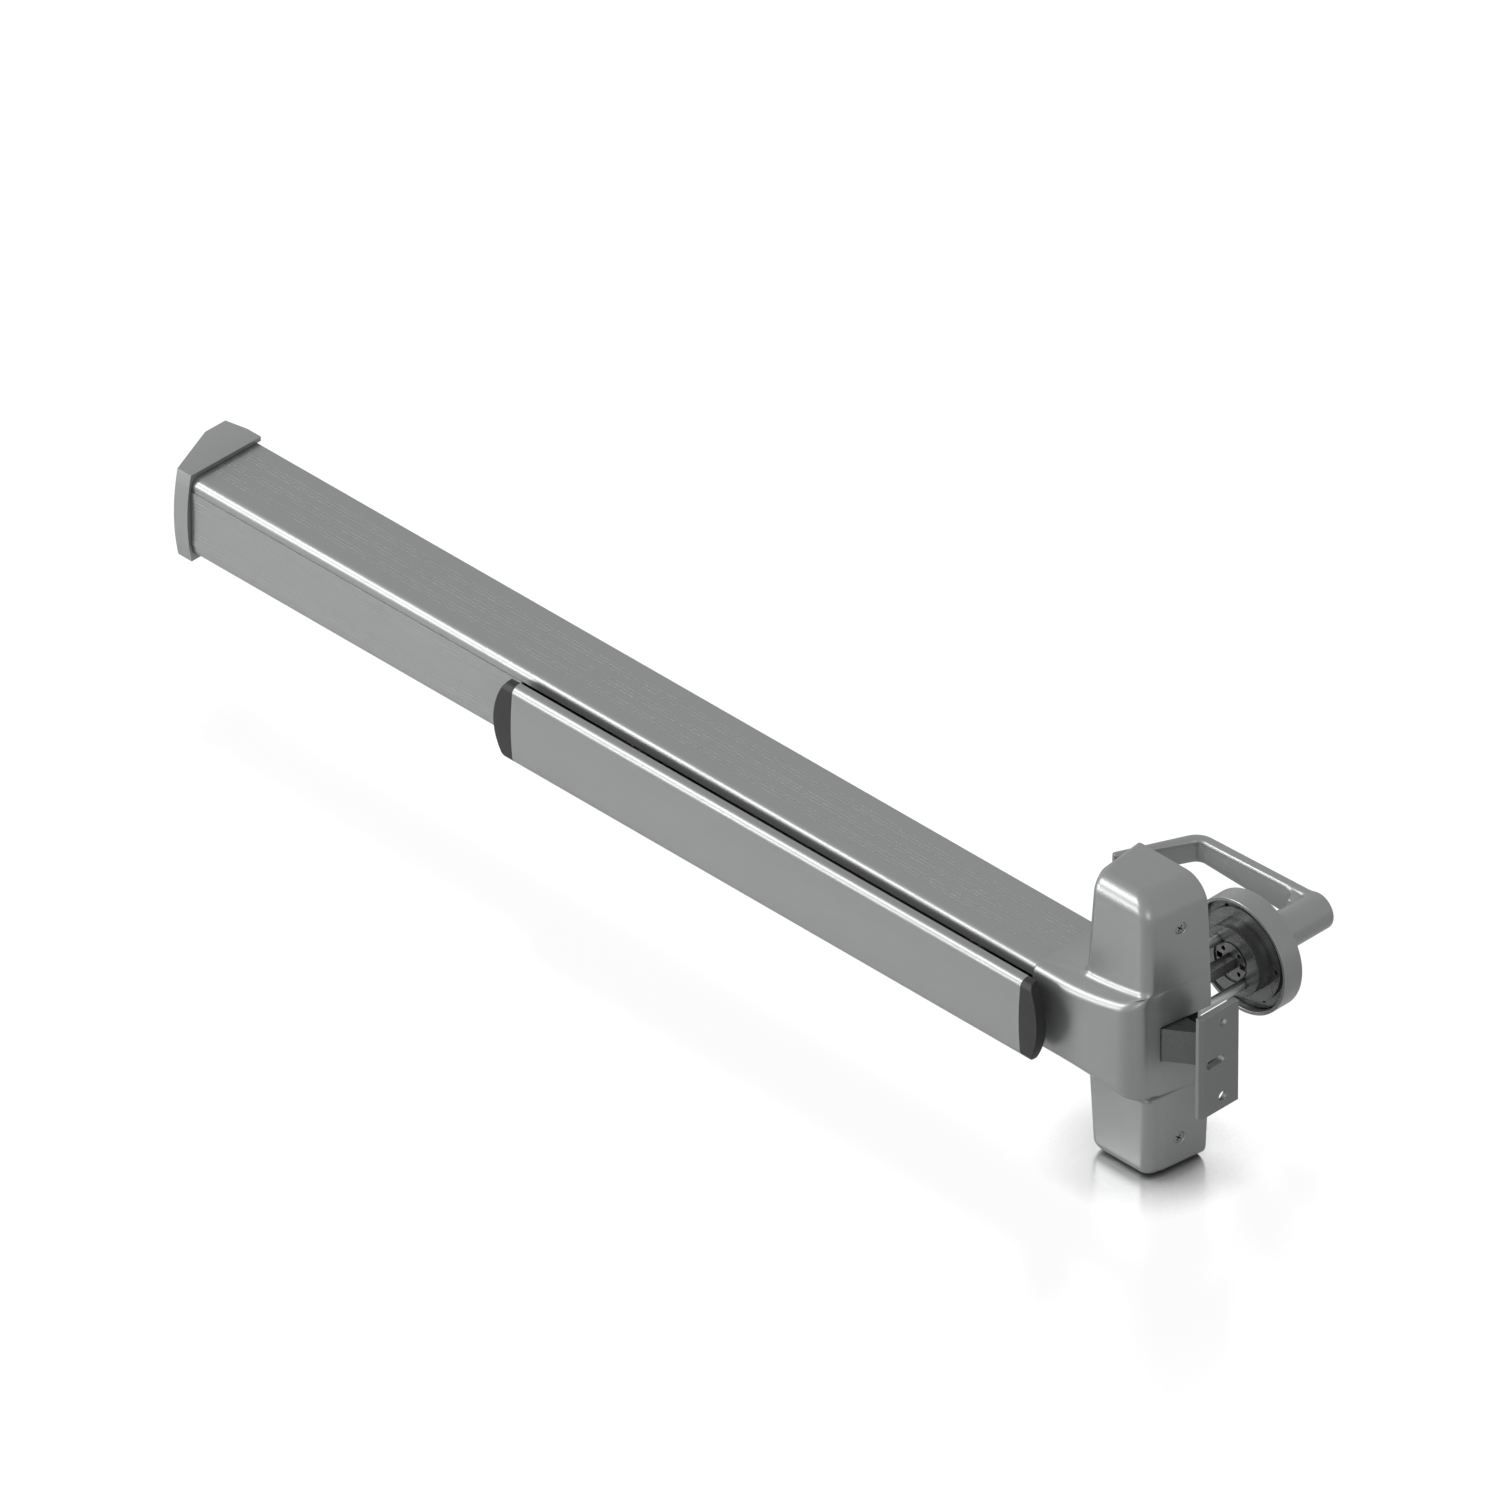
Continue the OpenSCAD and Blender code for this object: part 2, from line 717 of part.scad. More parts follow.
// Depth of the belly and the height of its edge, at place x
function belly_at(x) = belly_d - 0.00085 * pow(max(0, x + 38), 2);
function belly_edge(x, up) = neck_half + (up ? flare_up : flare_down) * pow(max(0, x + 38), 2);

// One row's outline in plan. xl and xr are the sides at the door, d the depth of the
// front, rl and rr the corner radii, k the draft of the left and right sides.
function side_at(x, y, k) = x + k * y;
function outline_pt(i, xl, xr, d, rl, rr, kl, kr, n) = let (
    na = n[0], nc = n[1], nf = n[2],
    lx = side_at(xl, d, kl), rx = side_at(xr, d, -kr)
)
    i <= na ? let (t = i / na) [side_at(xl, t * (d - rl), kl), -t * (d - rl)]
    : i <= na + nc ? let (a = 90 * (i - na) / nc) [lx + rl - rl * cos(a), -d + rl - rl * sin(a)]
    : i <= na + nc + nf ? let (t = (i - na - nc) / nf) [lx + rl + t * (rx - rr - lx - rl), -d]
    : i <= na + 2 * nc + nf ? let (a = 90 * (i - na - nc - nf) / nc)
        [rx - rr + rr * sin(a), -d + rr - rr * cos(a)]
    : let (t = (i - na - 2 * nc - nf) / na) [side_at(xr, (1 - t) * (d - rr), -kr), -(1 - t) * (d - rr)];

// Belly row: depth follows the belly's own curve, pulled in by e, at level f of its edge
function belly_pt(i, n, w, e, f, up) = let (
    p = outline_pt(i, -neck_reach - (w > 0 ? 1 : 0), head_half_w - w, belly_d - w, 2, 13, 0, draft, n),
    back = belly_d - belly_at(p[0]),
    share = min(1, -p[1] / 40),
    y = p[1] + (back + e) * share,
    z = (belly_edge(p[0], up) - w) * 1 - f
) [p[0], y, up ? z : -z];

// Belly row on the rounded edge, a share t of the way up. The rounding is a full quarter on
// the neck and stops at the slope of the shelf beside the tower.
function round_pt(i, n, w, t, up) = let (
    x = belly_pt(i, n, w, 0, edge_r, up)[0],
    a = t * (90 - shelf_a * shelf_on(x))
) belly_pt(i, n, w, edge_r * (1 - cos(a)), edge_r * (1 - sin(a)), up);

// How far the shelf beside the tower has begun at place x, from 0 to 1
function shelf_on(x) = min(1, max(0, (x + 46) / 20));

// Tower or lower body row at height z, spread outwards by s where a cove meets the shelf
function body_pt(i, n, w, z, s, up) = let (
    end = up ? head_top - w - z : head_bot - w - z,
    rl = up ? 4.5 : 9,
    rr = up ? 18 : 9,
    rf = up ? top_front_r : low_front_r,
    hw = half_w(up ? z : -z) - w,
    d = body_d(up ? z : -z) - w - corner_in(end, rf) + s,
    xl = -(hw - corner_in(end, rl)) - s,
    xr = hw - corner_in(end, rr),
    p = outline_pt(i, xl, xr, d, 7, 7.5, draft, draft, n)
) [p[0], p[1], up ? z : -z];

// Height of the shelf where the cove starts, at place x. It rises at one slope from the end
// of the belly's rounded edge to the start of the cove.
function shelf_z(x, up) = let (
    room = belly_at(x) - body_d(up ? 42 : -42),
    run = room - (edge_r + cove_r) * (1 - sin(shelf_a))
) belly_edge(x, up) + (run * tan(shelf_a) - edge_r * (1 - cos(shelf_a))) * shelf_on(x);

function cove_pt(i, n, w, psi, up) = let (
    s = (cove_r + w) * (1 - cos(psi)),
    p0 = body_pt(i, n, w, 45, s, up),
    top_z = shelf_z(p0[0], up) + cove_r * sin(90 - shelf_a) - w,
    z = top_z - (cove_r + w) * sin(psi)
) [p0[0], p0[1], up ? z : -z];

// All rows of one half, from the middle outwards
function half_rows(n, w, up, nt, nr) = let (
    end = (up ? head_top : head_bot) - w,
    rf = up ? top_front_r : low_front_r,
    base = 55
) concat(
    [for (f = [neck_half - w - 1, edge_r]) [for (i = [0:cols(n)]) belly_pt(i, n, w, 0, f, up)]],
    [for (k = [1:3]) [for (i = [0:cols(n)]) round_pt(i, n, w, k / 3, up)]],
    [for (k = [0:3]) [for (i = [0:cols(n)]) cove_pt(i, n, w, (90 - shelf_a) * (1 - k / 3), up)]],
    [for (k = [0:nt]) let (z = base + (end - rf - base) * k / nt)
        [for (i = [0:cols(n)]) body_pt(i, n, w, z, 0, up)]],
    [for (k = [1:nr]) let (a = 90 * k / nr)
        [for (i = [0:cols(n)]) body_pt(i, n, w, end - rf + rf * sin(a), 0, up)]]
);

function cols(n) = 2 * n[0] + 2 * n[1] + n[2];
function flip(v) = [for (i = [len(v) - 1:-1:0]) v[i]];

// Close the rows into a solid: back face, two ends and the grid between
module row_solid(rows, y_back) {
    m = len(rows[0]);
    k = len(rows);
    // each row gets two extra points behind the door face, where it is cut off
    ring = [for (r = rows) concat([[r[0][0], y_back, r[0][2]]], r, [[r[m - 1][0], y_back, r[m - 1][2]]])];
    w = m + 2;
    points = [for (r = ring, p = r) p];
    grid = [for (j = [0:k - 2], i = [0:w - 1]) let (
        a = j * w + i,
        b = j * w + (i + 1) % w
    ) each [[a, a + w, b], [b, a + w, b + w]]];
    bottom = [for (i = [1:w - 2]) [0, i, i + 1]];
    top = [for (i = [1:w - 2]) [(k - 1) * w, (k - 1) * w + i + 1, (k - 1) * w + i]];
    polyhedron(points = points, faces = concat(grid, bottom, top));
}

module head_skin(w, y_back) {
    n = w > 0 ? [1, 3, 6] : [2, 5, 9];
    rows = concat(flip(half_rows(n, w, false, 2, w > 0 ? 3 : 5)), half_rows(n, w, true, 2, w > 0 ? 4 : 6));
    row_solid(rows, y_back);
}

module head_cover() {
    side_x = half_w(cover_screw_up) - draft * cover_screw_y;
    low_x = half_w(-cover_screw_down) - draft * cover_screw_y;
    color([0.60, 0.61, 0.61]) difference() {
        head_skin(0, 2 * cut);
        head_skin(head_wall, 3 * cut);
        block([-neck_reach - cut, 0, -head_bot - cut], [head_half_w + cut, 4 * cut, head_top + cut]);
        along_x(-neck_reach - cut, -head_half_w + 6)
            bar_section(cut, case_front - slide_gap, case_h / 2 + slide_gap, case_r + slide_gap);
        block([20, latch_front - 0.4, notch_z0], [head_half_w + cut, cut, notch_z1]);
        for (s = [-1, 1]) {
            translate([0, -cover_screw_y, cover_screw_up]) screw_hole(s, side_x);
            translate([0, -cover_screw_y, -cover_screw_down]) screw_hole(s, low_x);
        }
    }
}

// Countersunk hole through the cover's side, on the right for s = 1
module screw_hole(s, x) {
    mirror([s > 0 ? 0 : 1, 0, 0]) {
        rod_x(x - 8, x + 4, 2.3);
        translate([x - 2.2, 0, 0]) rotate([0, 90, 0]) cylinder(h = 2.6, r1 = 2.3, r2 = 5);
    }
}

module cover_screws() {
    color([0.50, 0.50, 0.50]) for (s = [-1, 1], up = [0, 1]) {
        z = up > 0 ? cover_screw_up : -cover_screw_down;
        x = half_w(z) - draft * cover_screw_y;
        translate([0, -cover_screw_y, z]) mirror([s > 0 ? 0 : 1, 0, 0]) {
            rod_x(x - 8, x - 1.6, 2);
            translate([x - 2.1, 0, 0]) rotate([0, 90, 0]) cylinder(h = 1.9, r1 = 2.1, r2 = 4.2);
        }
    }
}

module head_chassis() {
    tab = 2;
    tab_in = head_wall + 2.6;
    color([0.66, 0.66, 0.64]) difference() {
        union() {
            block([-chassis_half, -chassis_t, -chassis_down], [chassis_half, 0, chassis_up]);
            for (s = [-1, 1], up = [0, 1]) {
                z = up > 0 ? cover_screw_up : -cover_screw_down;
                x = half_w(z) - draft * cover_screw_y - tab_in;
                mirror([s > 0 ? 0 : 1, 0, 0])
                    block([x - tab, -cover_screw_y - 6, z - 7], [x, 0, z + 7]);
            }
        }
        for (sx = [-1, 1], sz = [-1, 1])
            translate([sx * bolt_pitch_x / 2, 0, sz * bolt_pitch_z / 2])
                rod_y(-chassis_t - cut, cut, bolt_hole_r);
        for (p = post_places)
            translate([p[0], 0, trim_z + p[1]]) rod_y(-chassis_t - cut, cut, 2.3);
        translate([0, 0, trim_z]) rod_y(-chassis_t - cut, cut, 8.5);
        for (s = [-1, 1], up = [0, 1]) {
            z = up > 0 ? cover_screw_up : -cover_screw_down;
            x = half_w(z) - draft * cover_screw_y;
            translate([0, -cover_screw_y, z]) mirror([s > 0 ? 0 : 1, 0, 0]) rod_x(x - 8, x, 2.05);
        }
    }
}

module latch_guide() {
    z_in = latch_h / 2 + latch_clear;
    y0 = latch_front;
    color([0.66, 0.66, 0.64]) difference() {
        union() {
            for (s = [-1, 1]) {
                z0 = latch_z + (s > 0 ? z_in : -z_in - guide_t);
                block([guide_x0, y0, z0], [guide_x1, -9, z0 + guide_t]);
                block([4, -9.01, z0], [guide_x1, -chassis_t, z0 + guide_t]);
            }
            block([guide_x0, y0 + 2, latch_z - z_in - 0.01], [guide_x0 + guide_t, latch_back - 3.5, latch_z + z_in + 0.01]);
        }
        translate([0, (latch_front + latch_back) / 2, latch_z])
            rod_x(guide_x0 - cut, guide_x0 + guide_t + cut, 2.55);
        for (p = post_places)
            translate([p[0], 0, trim_z + p[1]]) rod_y(-9.5, -chassis_t + cut, 5);
    }
}

module spring_guide_rod() {
    color([0.70, 0.70, 0.70]) translate([0, (latch_front + latch_back) / 2, latch_z]) {
        rod_x(guide_x0 - 1.5, guide_x0, 4);
        rod_x(guide_x0 - 0.5, -8, 2.5);
    }
}

module latch_bolt() {
    z0 = latch_z - latch_h / 2;
    tip_y = latch_front + bevel * (latch_tip - latch_bevel_x);
    color([0.35, 0.35, 0.35]) difference() {
        along_z(z0, z0 + latch_h) polygon([
            [tail_x, latch_front],
            [latch_bevel_x, latch_front],
            [latch_tip, tip_y],
            [latch_tip, latch_back],
            [tail_x, latch_back]
        ]);
        translate([0, (latch_front + latch_back) / 2, latch_z])
            rod_x(tail_x - cut, latch_bore_x, latch_bore_r);
        translate([drive_pin_x, 0, latch_z])
            rod_y(latch_back - 3, latch_back + cut, drive_pin_r + run_gap);
    }
}

module latch_drive_pin() {
    color([0.70, 0.70, 0.70]) translate([drive_pin_x, 0, latch_z])
        rod_y(latch_back - 2.9, drive_y + link_t + 1.2, drive_pin_r);
}

module latch_spring() {
    color([0.75, 0.75, 0.75]) translate([0, (latch_front + latch_back) / 2, latch_z])
        coil(latch_spring_x0 + wire_d / 2 + 0.2, latch_bore_x - wire_d / 2 - 0.2, 3.9, latch_curls, wire_d);
}

module retractor_cam() {
    cam_y = -chassis_t - 1;
    color([0.60, 0.58, 0.50]) translate([0, 0, trim_z]) difference() {
        union() {
            rod_y(cam_y - 5, cam_y, 8);
            block([-7.8, cam_y - 5, -2.5], [7.8, cam_y - 1, 2.5]);
        }
        square_bar(cam_y - 6, cam_y + cut, spindle_w / 2 + 0.1);
    }
}

// Square bar about the Y axis
module square_bar(y0, y1, half) {
    block([-half, y0, -half], [half, y1, half]);
}

module spindle() {
    color([0.25, 0.25, 0.25]) translate([0, 0, trim_z])
        square_bar(-chassis_t - 6.5, lever_reach - 30, spindle_w / 2);
}

module spindle_hub() {
    y0 = door_t - cage_in + 0.4;
    y1 = door_t + rose_t - 2.4;
    color([0.45, 0.45, 0.44]) translate([0, 0, trim_z]) difference() {
        rod_y(y0, y1, hub_r);
        square_bar(y0 - cut, y1 + cut, spindle_w / 2 + 0.1);
        for (a = [45:90:315])
            rotate([0, a, 0]) translate([9.6, 0, 0]) rod_y(y0 - cut, y0 + 3, 1.6);
        for (a = [0, 180])
            rotate([0, a, 0]) block([7.5, y0 - cut, -2.2], [hub_r + cut, y0 + 2.5, 2.2]);
    }
}

// Grip of the lever: sections swept along a path in plan, tapering towards the tip
bend_r = 11;
grip_y = lever_reach - grip_t / 2;
bend_turn = 90 - return_a;
bend_x = -lever_l + grip_t / 2 + bend_r * tan(bend_turn / 2) * 0.45;

function grip_path() = concat(
    [for (k = [0:5]) [[bend_x * k / 5, grip_y], 0, k / 5]],
    [for (k = [1:6]) let (a = bend_turn * k / 6)
        [[bend_x - bend_r * sin(a), grip_y - bend_r * (1 - cos(a))], a, 1]],
    [for (k = [1:4]) let (
        x1 = bend_x - bend_r * sin(bend_turn), y1 = grip_y - bend_r * (1 - cos(bend_turn)),
        run = return_l - bend_r * 0.6
    ) [[x1 - run * k / 4 * cos(bend_turn), y1 - run * k / 4 * sin(bend_turn)], bend_turn, 1 + k / 4]]
);

function grip_half_at(t) = t <= 1 ? hub_r - (hub_r - grip_half) * t : grip_half;
function grip_thick_at(t) = t <= 1 ? grip_t : grip_t - 3.2 * (t - 1);

function grip_ring(s, m) = let (
    c = s[0], a = s[1], hz = grip_half_at(s[2]), ht = grip_thick_at(s[2]) / 2,
    outward = [sin(a) * -1, cos(a)]
) [for (k = [0:m - 1]) let (
    b = 360 * k / m,
    e = 0.55,
    u = ht * sign(cos(b)) * pow(abs(cos(b)), e),
    v = hz * sign(sin(b)) * pow(abs(sin(b)), e)
) [c[0] + outward[0] * u, c[1] + outward[1] * u, trim_z + v]];

module lever_handle() {
    m = 16;
    path = grip_path();
    k = len(path);
    points = [for (s = path, p = grip_ring(s, m)) p];
    grid = [for (j = [0:k - 2], i = [0:m - 1]) let (a = j * m + i, b = j * m + (i + 1) % m)
        each [[a, b, a + m], [b, b + m, a + m]]];
    near = [for (i = [1:m - 2]) [0, i + 1, i]];
    far = [for (i = [1:m - 2]) [(k - 1) * m, (k - 1) * m + i, (k - 1) * m + i + 1]];
    y0 = door_t + rose_t - 2;
    color([0.58, 0.59, 0.59]) difference() {
        union() {
            polyhedron(points = points, faces = concat(grid, near, far));
            translate([0, 0, trim_z]) {
                rod_y(y0, lever_reach - 1.5, hub_r);
                rod_y(lever_reach - 1.6, lever_reach, hub_r - 1.2);
            }
        }
        translate([0, 0, trim_z]) square_bar(y0 - cut, lever_reach - 29, spindle_w / 2 + 0.1);
    }
}

module lever_return_spring() {
    y0 = cage_y1 + trim_plate_t + 0.4 + wire_d / 2;
    y1 = door_t + rose_t - rose_wall - 0.4 - wire_d / 2;
    color([0.75, 0.75, 0.75]) translate([0, 0, trim_z]) rotate([0, 0, 90])
        coil(y0, y1, 17, lever_curls, wire_d);
}

module trim_rose() {
    wall = rose_wall;
    color([0.58, 0.59, 0.59]) translate([0, door_t + rose_t, trim_z]) rotate([90, 0, 0])
        rotate_extrude() polygon([
            [hub_r + slide_gap, 0],
            [rose_r - 1.2, 0],
            [rose_r, 1.2],
            [rose_r, rose_t],
            [rose_r - wall, rose_t],
            [rose_r - wall, wall],
            [hub_r + slide_gap, wall]
        ]);
}

module spring_cage() {
    y0 = door_t - cage_in;
    y1 = cage_y1;
    color([0.35, 0.35, 0.35]) translate([0, 0, trim_z]) difference() {
        union() {
            rod_y(y0, y1, cage_r);
            rod_y(y1 - 2, y1, cage_r + 8);
        }
        rod_y(y0 - cut, y1 + cut, hub_r + run_gap);
        rod_y(y0 - cut, y0 + 1.2, hub_r + 2);
        for (p = post_places)
            translate([p[0], 0, p[1]]) rod_y(y0 - cut, y1 + cut, post_r + 0.1);
        for (s = [-1, 1])
            translate([s * (cage_r + 4), 0, 0]) rod_y(y1 - 3, y1 + cut, 1.6);
    }
}

module trim_plate() {
    y0 = cage_y1;
    y1 = y0 + trim_plate_t;
    color([0.40, 0.40, 0.40]) translate([0, 0, trim_z]) difference() {
        rod_y(y0, y1, rose_r - rose_wall - slide_gap);
        rod_y(y0 - cut, y1 + cut, hub_r + slide_gap);
        for (s = [-1, 1])
            translate([s * (cage_r + 4), 0, 0]) rod_y(y0 - cut, y1 + cut, 1.6);
        for (a = [60, 240])
            rotate([0, a, 0]) translate([32, 0, 0]) rod_y(y0 - cut, y1 + cut, 2);
    }
}

module trim_posts() {
    color([0.40, 0.41, 0.41]) translate([0, 0, trim_z]) for (p = post_places)
        translate([p[0], 0, p[1]]) difference() {
            rod_y(0, cage_y1, post_r);
            rod_y(-cut, post_bore_l, 2.1);
        }
}

module trim_screws() {
    color([0.50, 0.50, 0.50]) translate([0, 0, trim_z]) for (p = post_places)
        translate([p[0], 0, p[1]]) {
            rod_y(-chassis_t - 2.2, -chassis_t, 3.8);
            rod_y(-chassis_t - 0.5, post_bore_l - 4, 2);
        }
}

module strike_plate() {
    x0 = strike_x - strike_t;
    z_mid = latch_z;
    back = -strike_front + strike_w;
    lug_y0 = latch_back + 0.7;
    color([0.40, 0.41, 0.40]) difference() {
        union() {
            along_z(z_mid - strike_h / 2, z_mid + strike_h / 2) polygon([
                [x0, -strike_front],
                [strike_x - 2.2, -strike_front],
                [strike_x, -strike_front + 2.2],
                [strike_x, back],
                [x0, back]
            ]);
            along_z(z_mid - 19, z_mid + 19) polygon([
                [x0 + 0.01, lug_y0],
                [latch_tip - 9 + 2, lug_y0],
                [latch_tip - 9, lug_y0 + 2],
                [latch_tip - 9, back],
                [x0 + 0.01, back]
            ]);
        }
        for (s = [-1, 1])
            translate([0, -strike_front + 19.5, z_mid + s * strike_pitch / 2]) {
                rod_x(x0 - cut, strike_x + cut, strike_hole_r);
                translate([x0 - 0.01, 0, 0]) rotate([0, 90, 0])
                    cylinder(h = 2.2, r1 = strike_hole_r + 2.2, r2 = strike_hole_r);
            }
        along_x(x0 - 8, strike_x + cut) translate([-strike_front + 12.9 - slot_l / 2 + slot_w / 2, z_mid + 0.8])
            slot_between(0, slot_l - slot_w, slot_w / 2);
    }
}

case_channel();
cover_plate();
end_cap();
end_bracket();
end_cap_screws();
base_rail();
pivot_bracket_left();
pivot_bracket_right();
pivot_pins();
spring_anchor();
bell_crank_left();
bell_crank_right();
link_bar();
link_pins();
pad_return_spring();
push_pad();
pad_cap_left();
pad_cap_right();
pad_bracket_left();
pad_bracket_right();
pad_pins();
head_cover();
cover_screws();
head_chassis();
latch_guide();
spring_guide_rod();
latch_bolt();
latch_drive_pin();
latch_spring();
retractor_cam();
spindle();
spindle_hub();
lever_handle();
lever_return_spring();
trim_rose();
spring_cage();
trim_plate();
trim_posts();
trim_screws();
strike_plate();
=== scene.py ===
"""Rim exit device with outside lever trim: detailed pieces, finishes, floor, light and camera."""
import json
import math
import bmesh
import bpy
import numpy as np
from mathutils import Matrix, Vector


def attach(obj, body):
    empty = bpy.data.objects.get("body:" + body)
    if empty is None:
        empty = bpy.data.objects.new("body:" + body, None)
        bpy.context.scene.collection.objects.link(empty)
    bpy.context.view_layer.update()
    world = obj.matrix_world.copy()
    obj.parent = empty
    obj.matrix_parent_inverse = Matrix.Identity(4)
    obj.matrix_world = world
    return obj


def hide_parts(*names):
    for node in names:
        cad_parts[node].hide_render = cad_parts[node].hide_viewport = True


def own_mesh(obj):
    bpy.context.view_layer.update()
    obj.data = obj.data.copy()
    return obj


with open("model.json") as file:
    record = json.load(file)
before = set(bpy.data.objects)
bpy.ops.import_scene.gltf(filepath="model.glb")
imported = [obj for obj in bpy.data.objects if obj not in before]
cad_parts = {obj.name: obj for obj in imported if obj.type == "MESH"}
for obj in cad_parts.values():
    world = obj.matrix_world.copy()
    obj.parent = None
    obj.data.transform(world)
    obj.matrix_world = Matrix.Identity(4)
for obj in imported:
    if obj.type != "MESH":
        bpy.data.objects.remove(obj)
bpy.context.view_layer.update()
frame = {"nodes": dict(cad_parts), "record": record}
NODES = frame["nodes"]
BODY_OF = {node: body for body, members in frame["record"]["behaviour"]["bodies"].items()
           for node in members}
SLOT_OF = {s["node"]: s["material_slot"] for s in frame["record"]["subparts"]}
MM = 0.001

# Bar and door, in millimetres
CASE_FRONT, CASE_HALF, CASE_CORNER_R = -61.0, 29.3, 6.0
CASE_GROOVE, PLATE_GROOVE = 0.5, 0.35
CASE_GROOVE_LEFT, PLATE_GROOVE_LEFT = 0.3, 0.35
DOOR_T, LATCH_Z, TRIM_Z = 60.5, 2.0, 4.3

# Head cover, in millimetres and degrees
HEAD_TOP, HEAD_BOT, HEAD_HALF_W, HEAD_WALL = 107.8, 102.9, 35.0, 2.5
BELLY_D, TOWER_D, LOWER_D = 64.0, 48.7, 47.0
NECK_HALF, NECK_X = 30.8, 59.0
DRAFT, SIDE_LEAN, TOWER_LEAN, LOWER_LEAN = 0.118, 0.05, 0.045, 0.03
SIDE_LEAN_FROM, BODY_LEAN_FROM = 20.0, 50.0
FLARE_X, FLARE_UP, FLARE_DOWN, BELLY_FALL = -38.0, 0.0021, 0.0019, 0.00085
BELLY_FADE = 40.0
COVE_R, EDGE_R = 5.5, 7.5
SHELF_A, SHELF_X, SHELF_GROWTH, SHELF_Z = 20.0, -46.0, 20.0, 42.0
COVE_Z, STRAIGHT_Z = 45.0, 55.0
BELLY_CORNERS, BODY_CORNERS = (2.0, 13.0), (7.0, 7.5)
TOP_R, TOP_LEFT_R, TOP_RIGHT_R = 13.0, 4.5, 18.0
LOW_R, LOW_SIDE_R = 9.5, 9.0
PORT_GAP, PORT_END = 0.3, 6.0
NOTCH_X, NOTCH_Y, NOTCH_HALF = 20.0, -39.6, 12.9

# Nets of the head's skin: points on side, corner and front, rows in an arc, rows up the straight
OUTER_NET = ((10, 12, 40), 8, 10)
HOLLOW_NET = ((4, 6, 16), 5, 5)

# Cover screws, in millimetres
SCREW_Y, SCREW_UP, SCREW_DOWN = -22.0, 81.6, -78.0
SCREW_R, SCREW_HEAD, SHANK_R, SCREW_L, SCREW_SUNK = 4.4, 2.3, 2.0, 8.0, 0.35
CROSS_HALF, CROSS_DEPTH, CROSS_FOOT, CROSS_TOP = 0.5, 3.2, 0.3, 0.58
SEAT_HOLE_R, SEAT_R, SEAT_DEPTH = 2.3, 5.0, 2.2

# Lever and rose, in millimetres and degrees
LEVER_REACH, LEVER_L, GRIP_T, GRIP_HALF, HUB_R = 133.0, 101.0, 9.0, 9.0, 12.8
BEND_R, RETURN_L, RETURN_A, RETURN_THINS = 11.0, 58.0, 25.0, 3.2
FILLET_R, FILLET_SHORT = 8.0, 2.5
HUB_FOOT, SOCKET_HALF, SOCKET_TOP = 14.0, 4.1, 29.0
GRIP_STEPS, BEND_STEPS, RETURN_STEPS, RING_STEPS = 48, 24, 32, 80
CAST_CELL, CAST_ROUNDS = 0.42, 60
ROSE_R, ROSE_T, ROSE_WALL, ROSE_EDGE_R, ROSE_BREAK = 40.6, 16.0, 2.5, 1.6, 0.3


# Shader expressions
class Value:
    """A shader socket that stands in Python expressions."""

    def __init__(self, tree, socket):
        self.tree, self.socket = tree, socket

    def __add__(self, other):
        return calc("ADD", self, other)

    def __radd__(self, other):
        return calc("ADD", other, self)

    def __sub__(self, other):
        return calc("SUBTRACT", self, other)

    def __rsub__(self, other):
        return calc("SUBTRACT", other, self)

    def __mul__(self, other):
        return calc("MULTIPLY", self, other)


def calc(operation, *values):
    """One Math node on sockets and numbers."""
    tree = next(v.tree for v in values if isinstance(v, Value))
    node = tree.nodes.new("ShaderNodeMath")
    node.operation = operation
    for socket, value in zip(node.inputs, values):
        feed(tree, socket, value)
    return Value(tree, node.outputs[0])


def feed(tree, socket, value):
    """Links a value to a socket, or sets a constant on it."""
    if isinstance(value, Value):
        tree.links.new(value.socket, socket)
    else:
        socket.default_value = value


class Finish:
    """A material in the making. node() makes any node: its settings first, then its sockets."""

    def __init__(self, name, tree=None):
        if tree is None:
            self.material = bpy.data.materials.new(name)
            self.material.use_nodes = True
            tree = self.material.node_tree
            tree.nodes.clear()
        self.tree = tree

    def node(self, kind, settings=None, sockets=None, out=0):
        node = self.tree.nodes.new("ShaderNode" + kind)
        for key, value in (settings or {}).items():
            setattr(node, key, value)
        for key, value in (sockets or {}).items():
            feed(self.tree, node.inputs[key], value)
        return Value(self.tree, node.outputs[out]) if len(node.outputs) else None

    def noise(self, place, stretch, detail=2.0, rough=0.5):
        """Noise on a stretched place, centred on 0."""
        vector = self.node("Mapping", None, {"Vector": place, "Scale": stretch})
        return self.node("TexNoise", None, {
            "Vector": vector, "Scale": 1.0, "Detail": detail, "Roughness": rough}) - 0.5

    def mix(self, factor, low, high):
        node = self.tree.nodes.new("ShaderNodeMix")
        node.data_type = "RGBA"
        node.clamp_factor = True
        feed(self.tree, node.inputs[0], factor)
        feed(self.tree, node.inputs[6], low)
        feed(self.tree, node.inputs[7], high)
        return Value(self.tree, node.outputs[2])

    def edges(self, radius):
        """Mask of sharp outer edges, where a finish wears first."""
        soft = self.node("Bevel", {"samples": 4}, {"Radius": radius})
        flat = self.node("NewGeometry", None, None, "Normal")
        near = self.node("VectorMath", {"operation": "DOT_PRODUCT"}, {0: soft, 1: flat}, "Value")
        return (1 - near) * 6.0

    def air(self, samples, distance):
        """Share of open air over a place: 1 in the open, 0 deep in a gap."""
        return self.node("AmbientOcclusion", {"samples": samples}, {"Distance": distance}, "AO")

    def bump(self, strength, height):
        return self.node("Bump", None, {"Strength": strength, "Distance": 0.0002, "Height": height})

    def surface(self, **sockets):
        names = {k.replace("_", " "): v for k, v in sockets.items()}
        shader = self.node("BsdfPrincipled", None, names)
        self.node("OutputMaterial", None, {"Surface": shader})
        return self.material


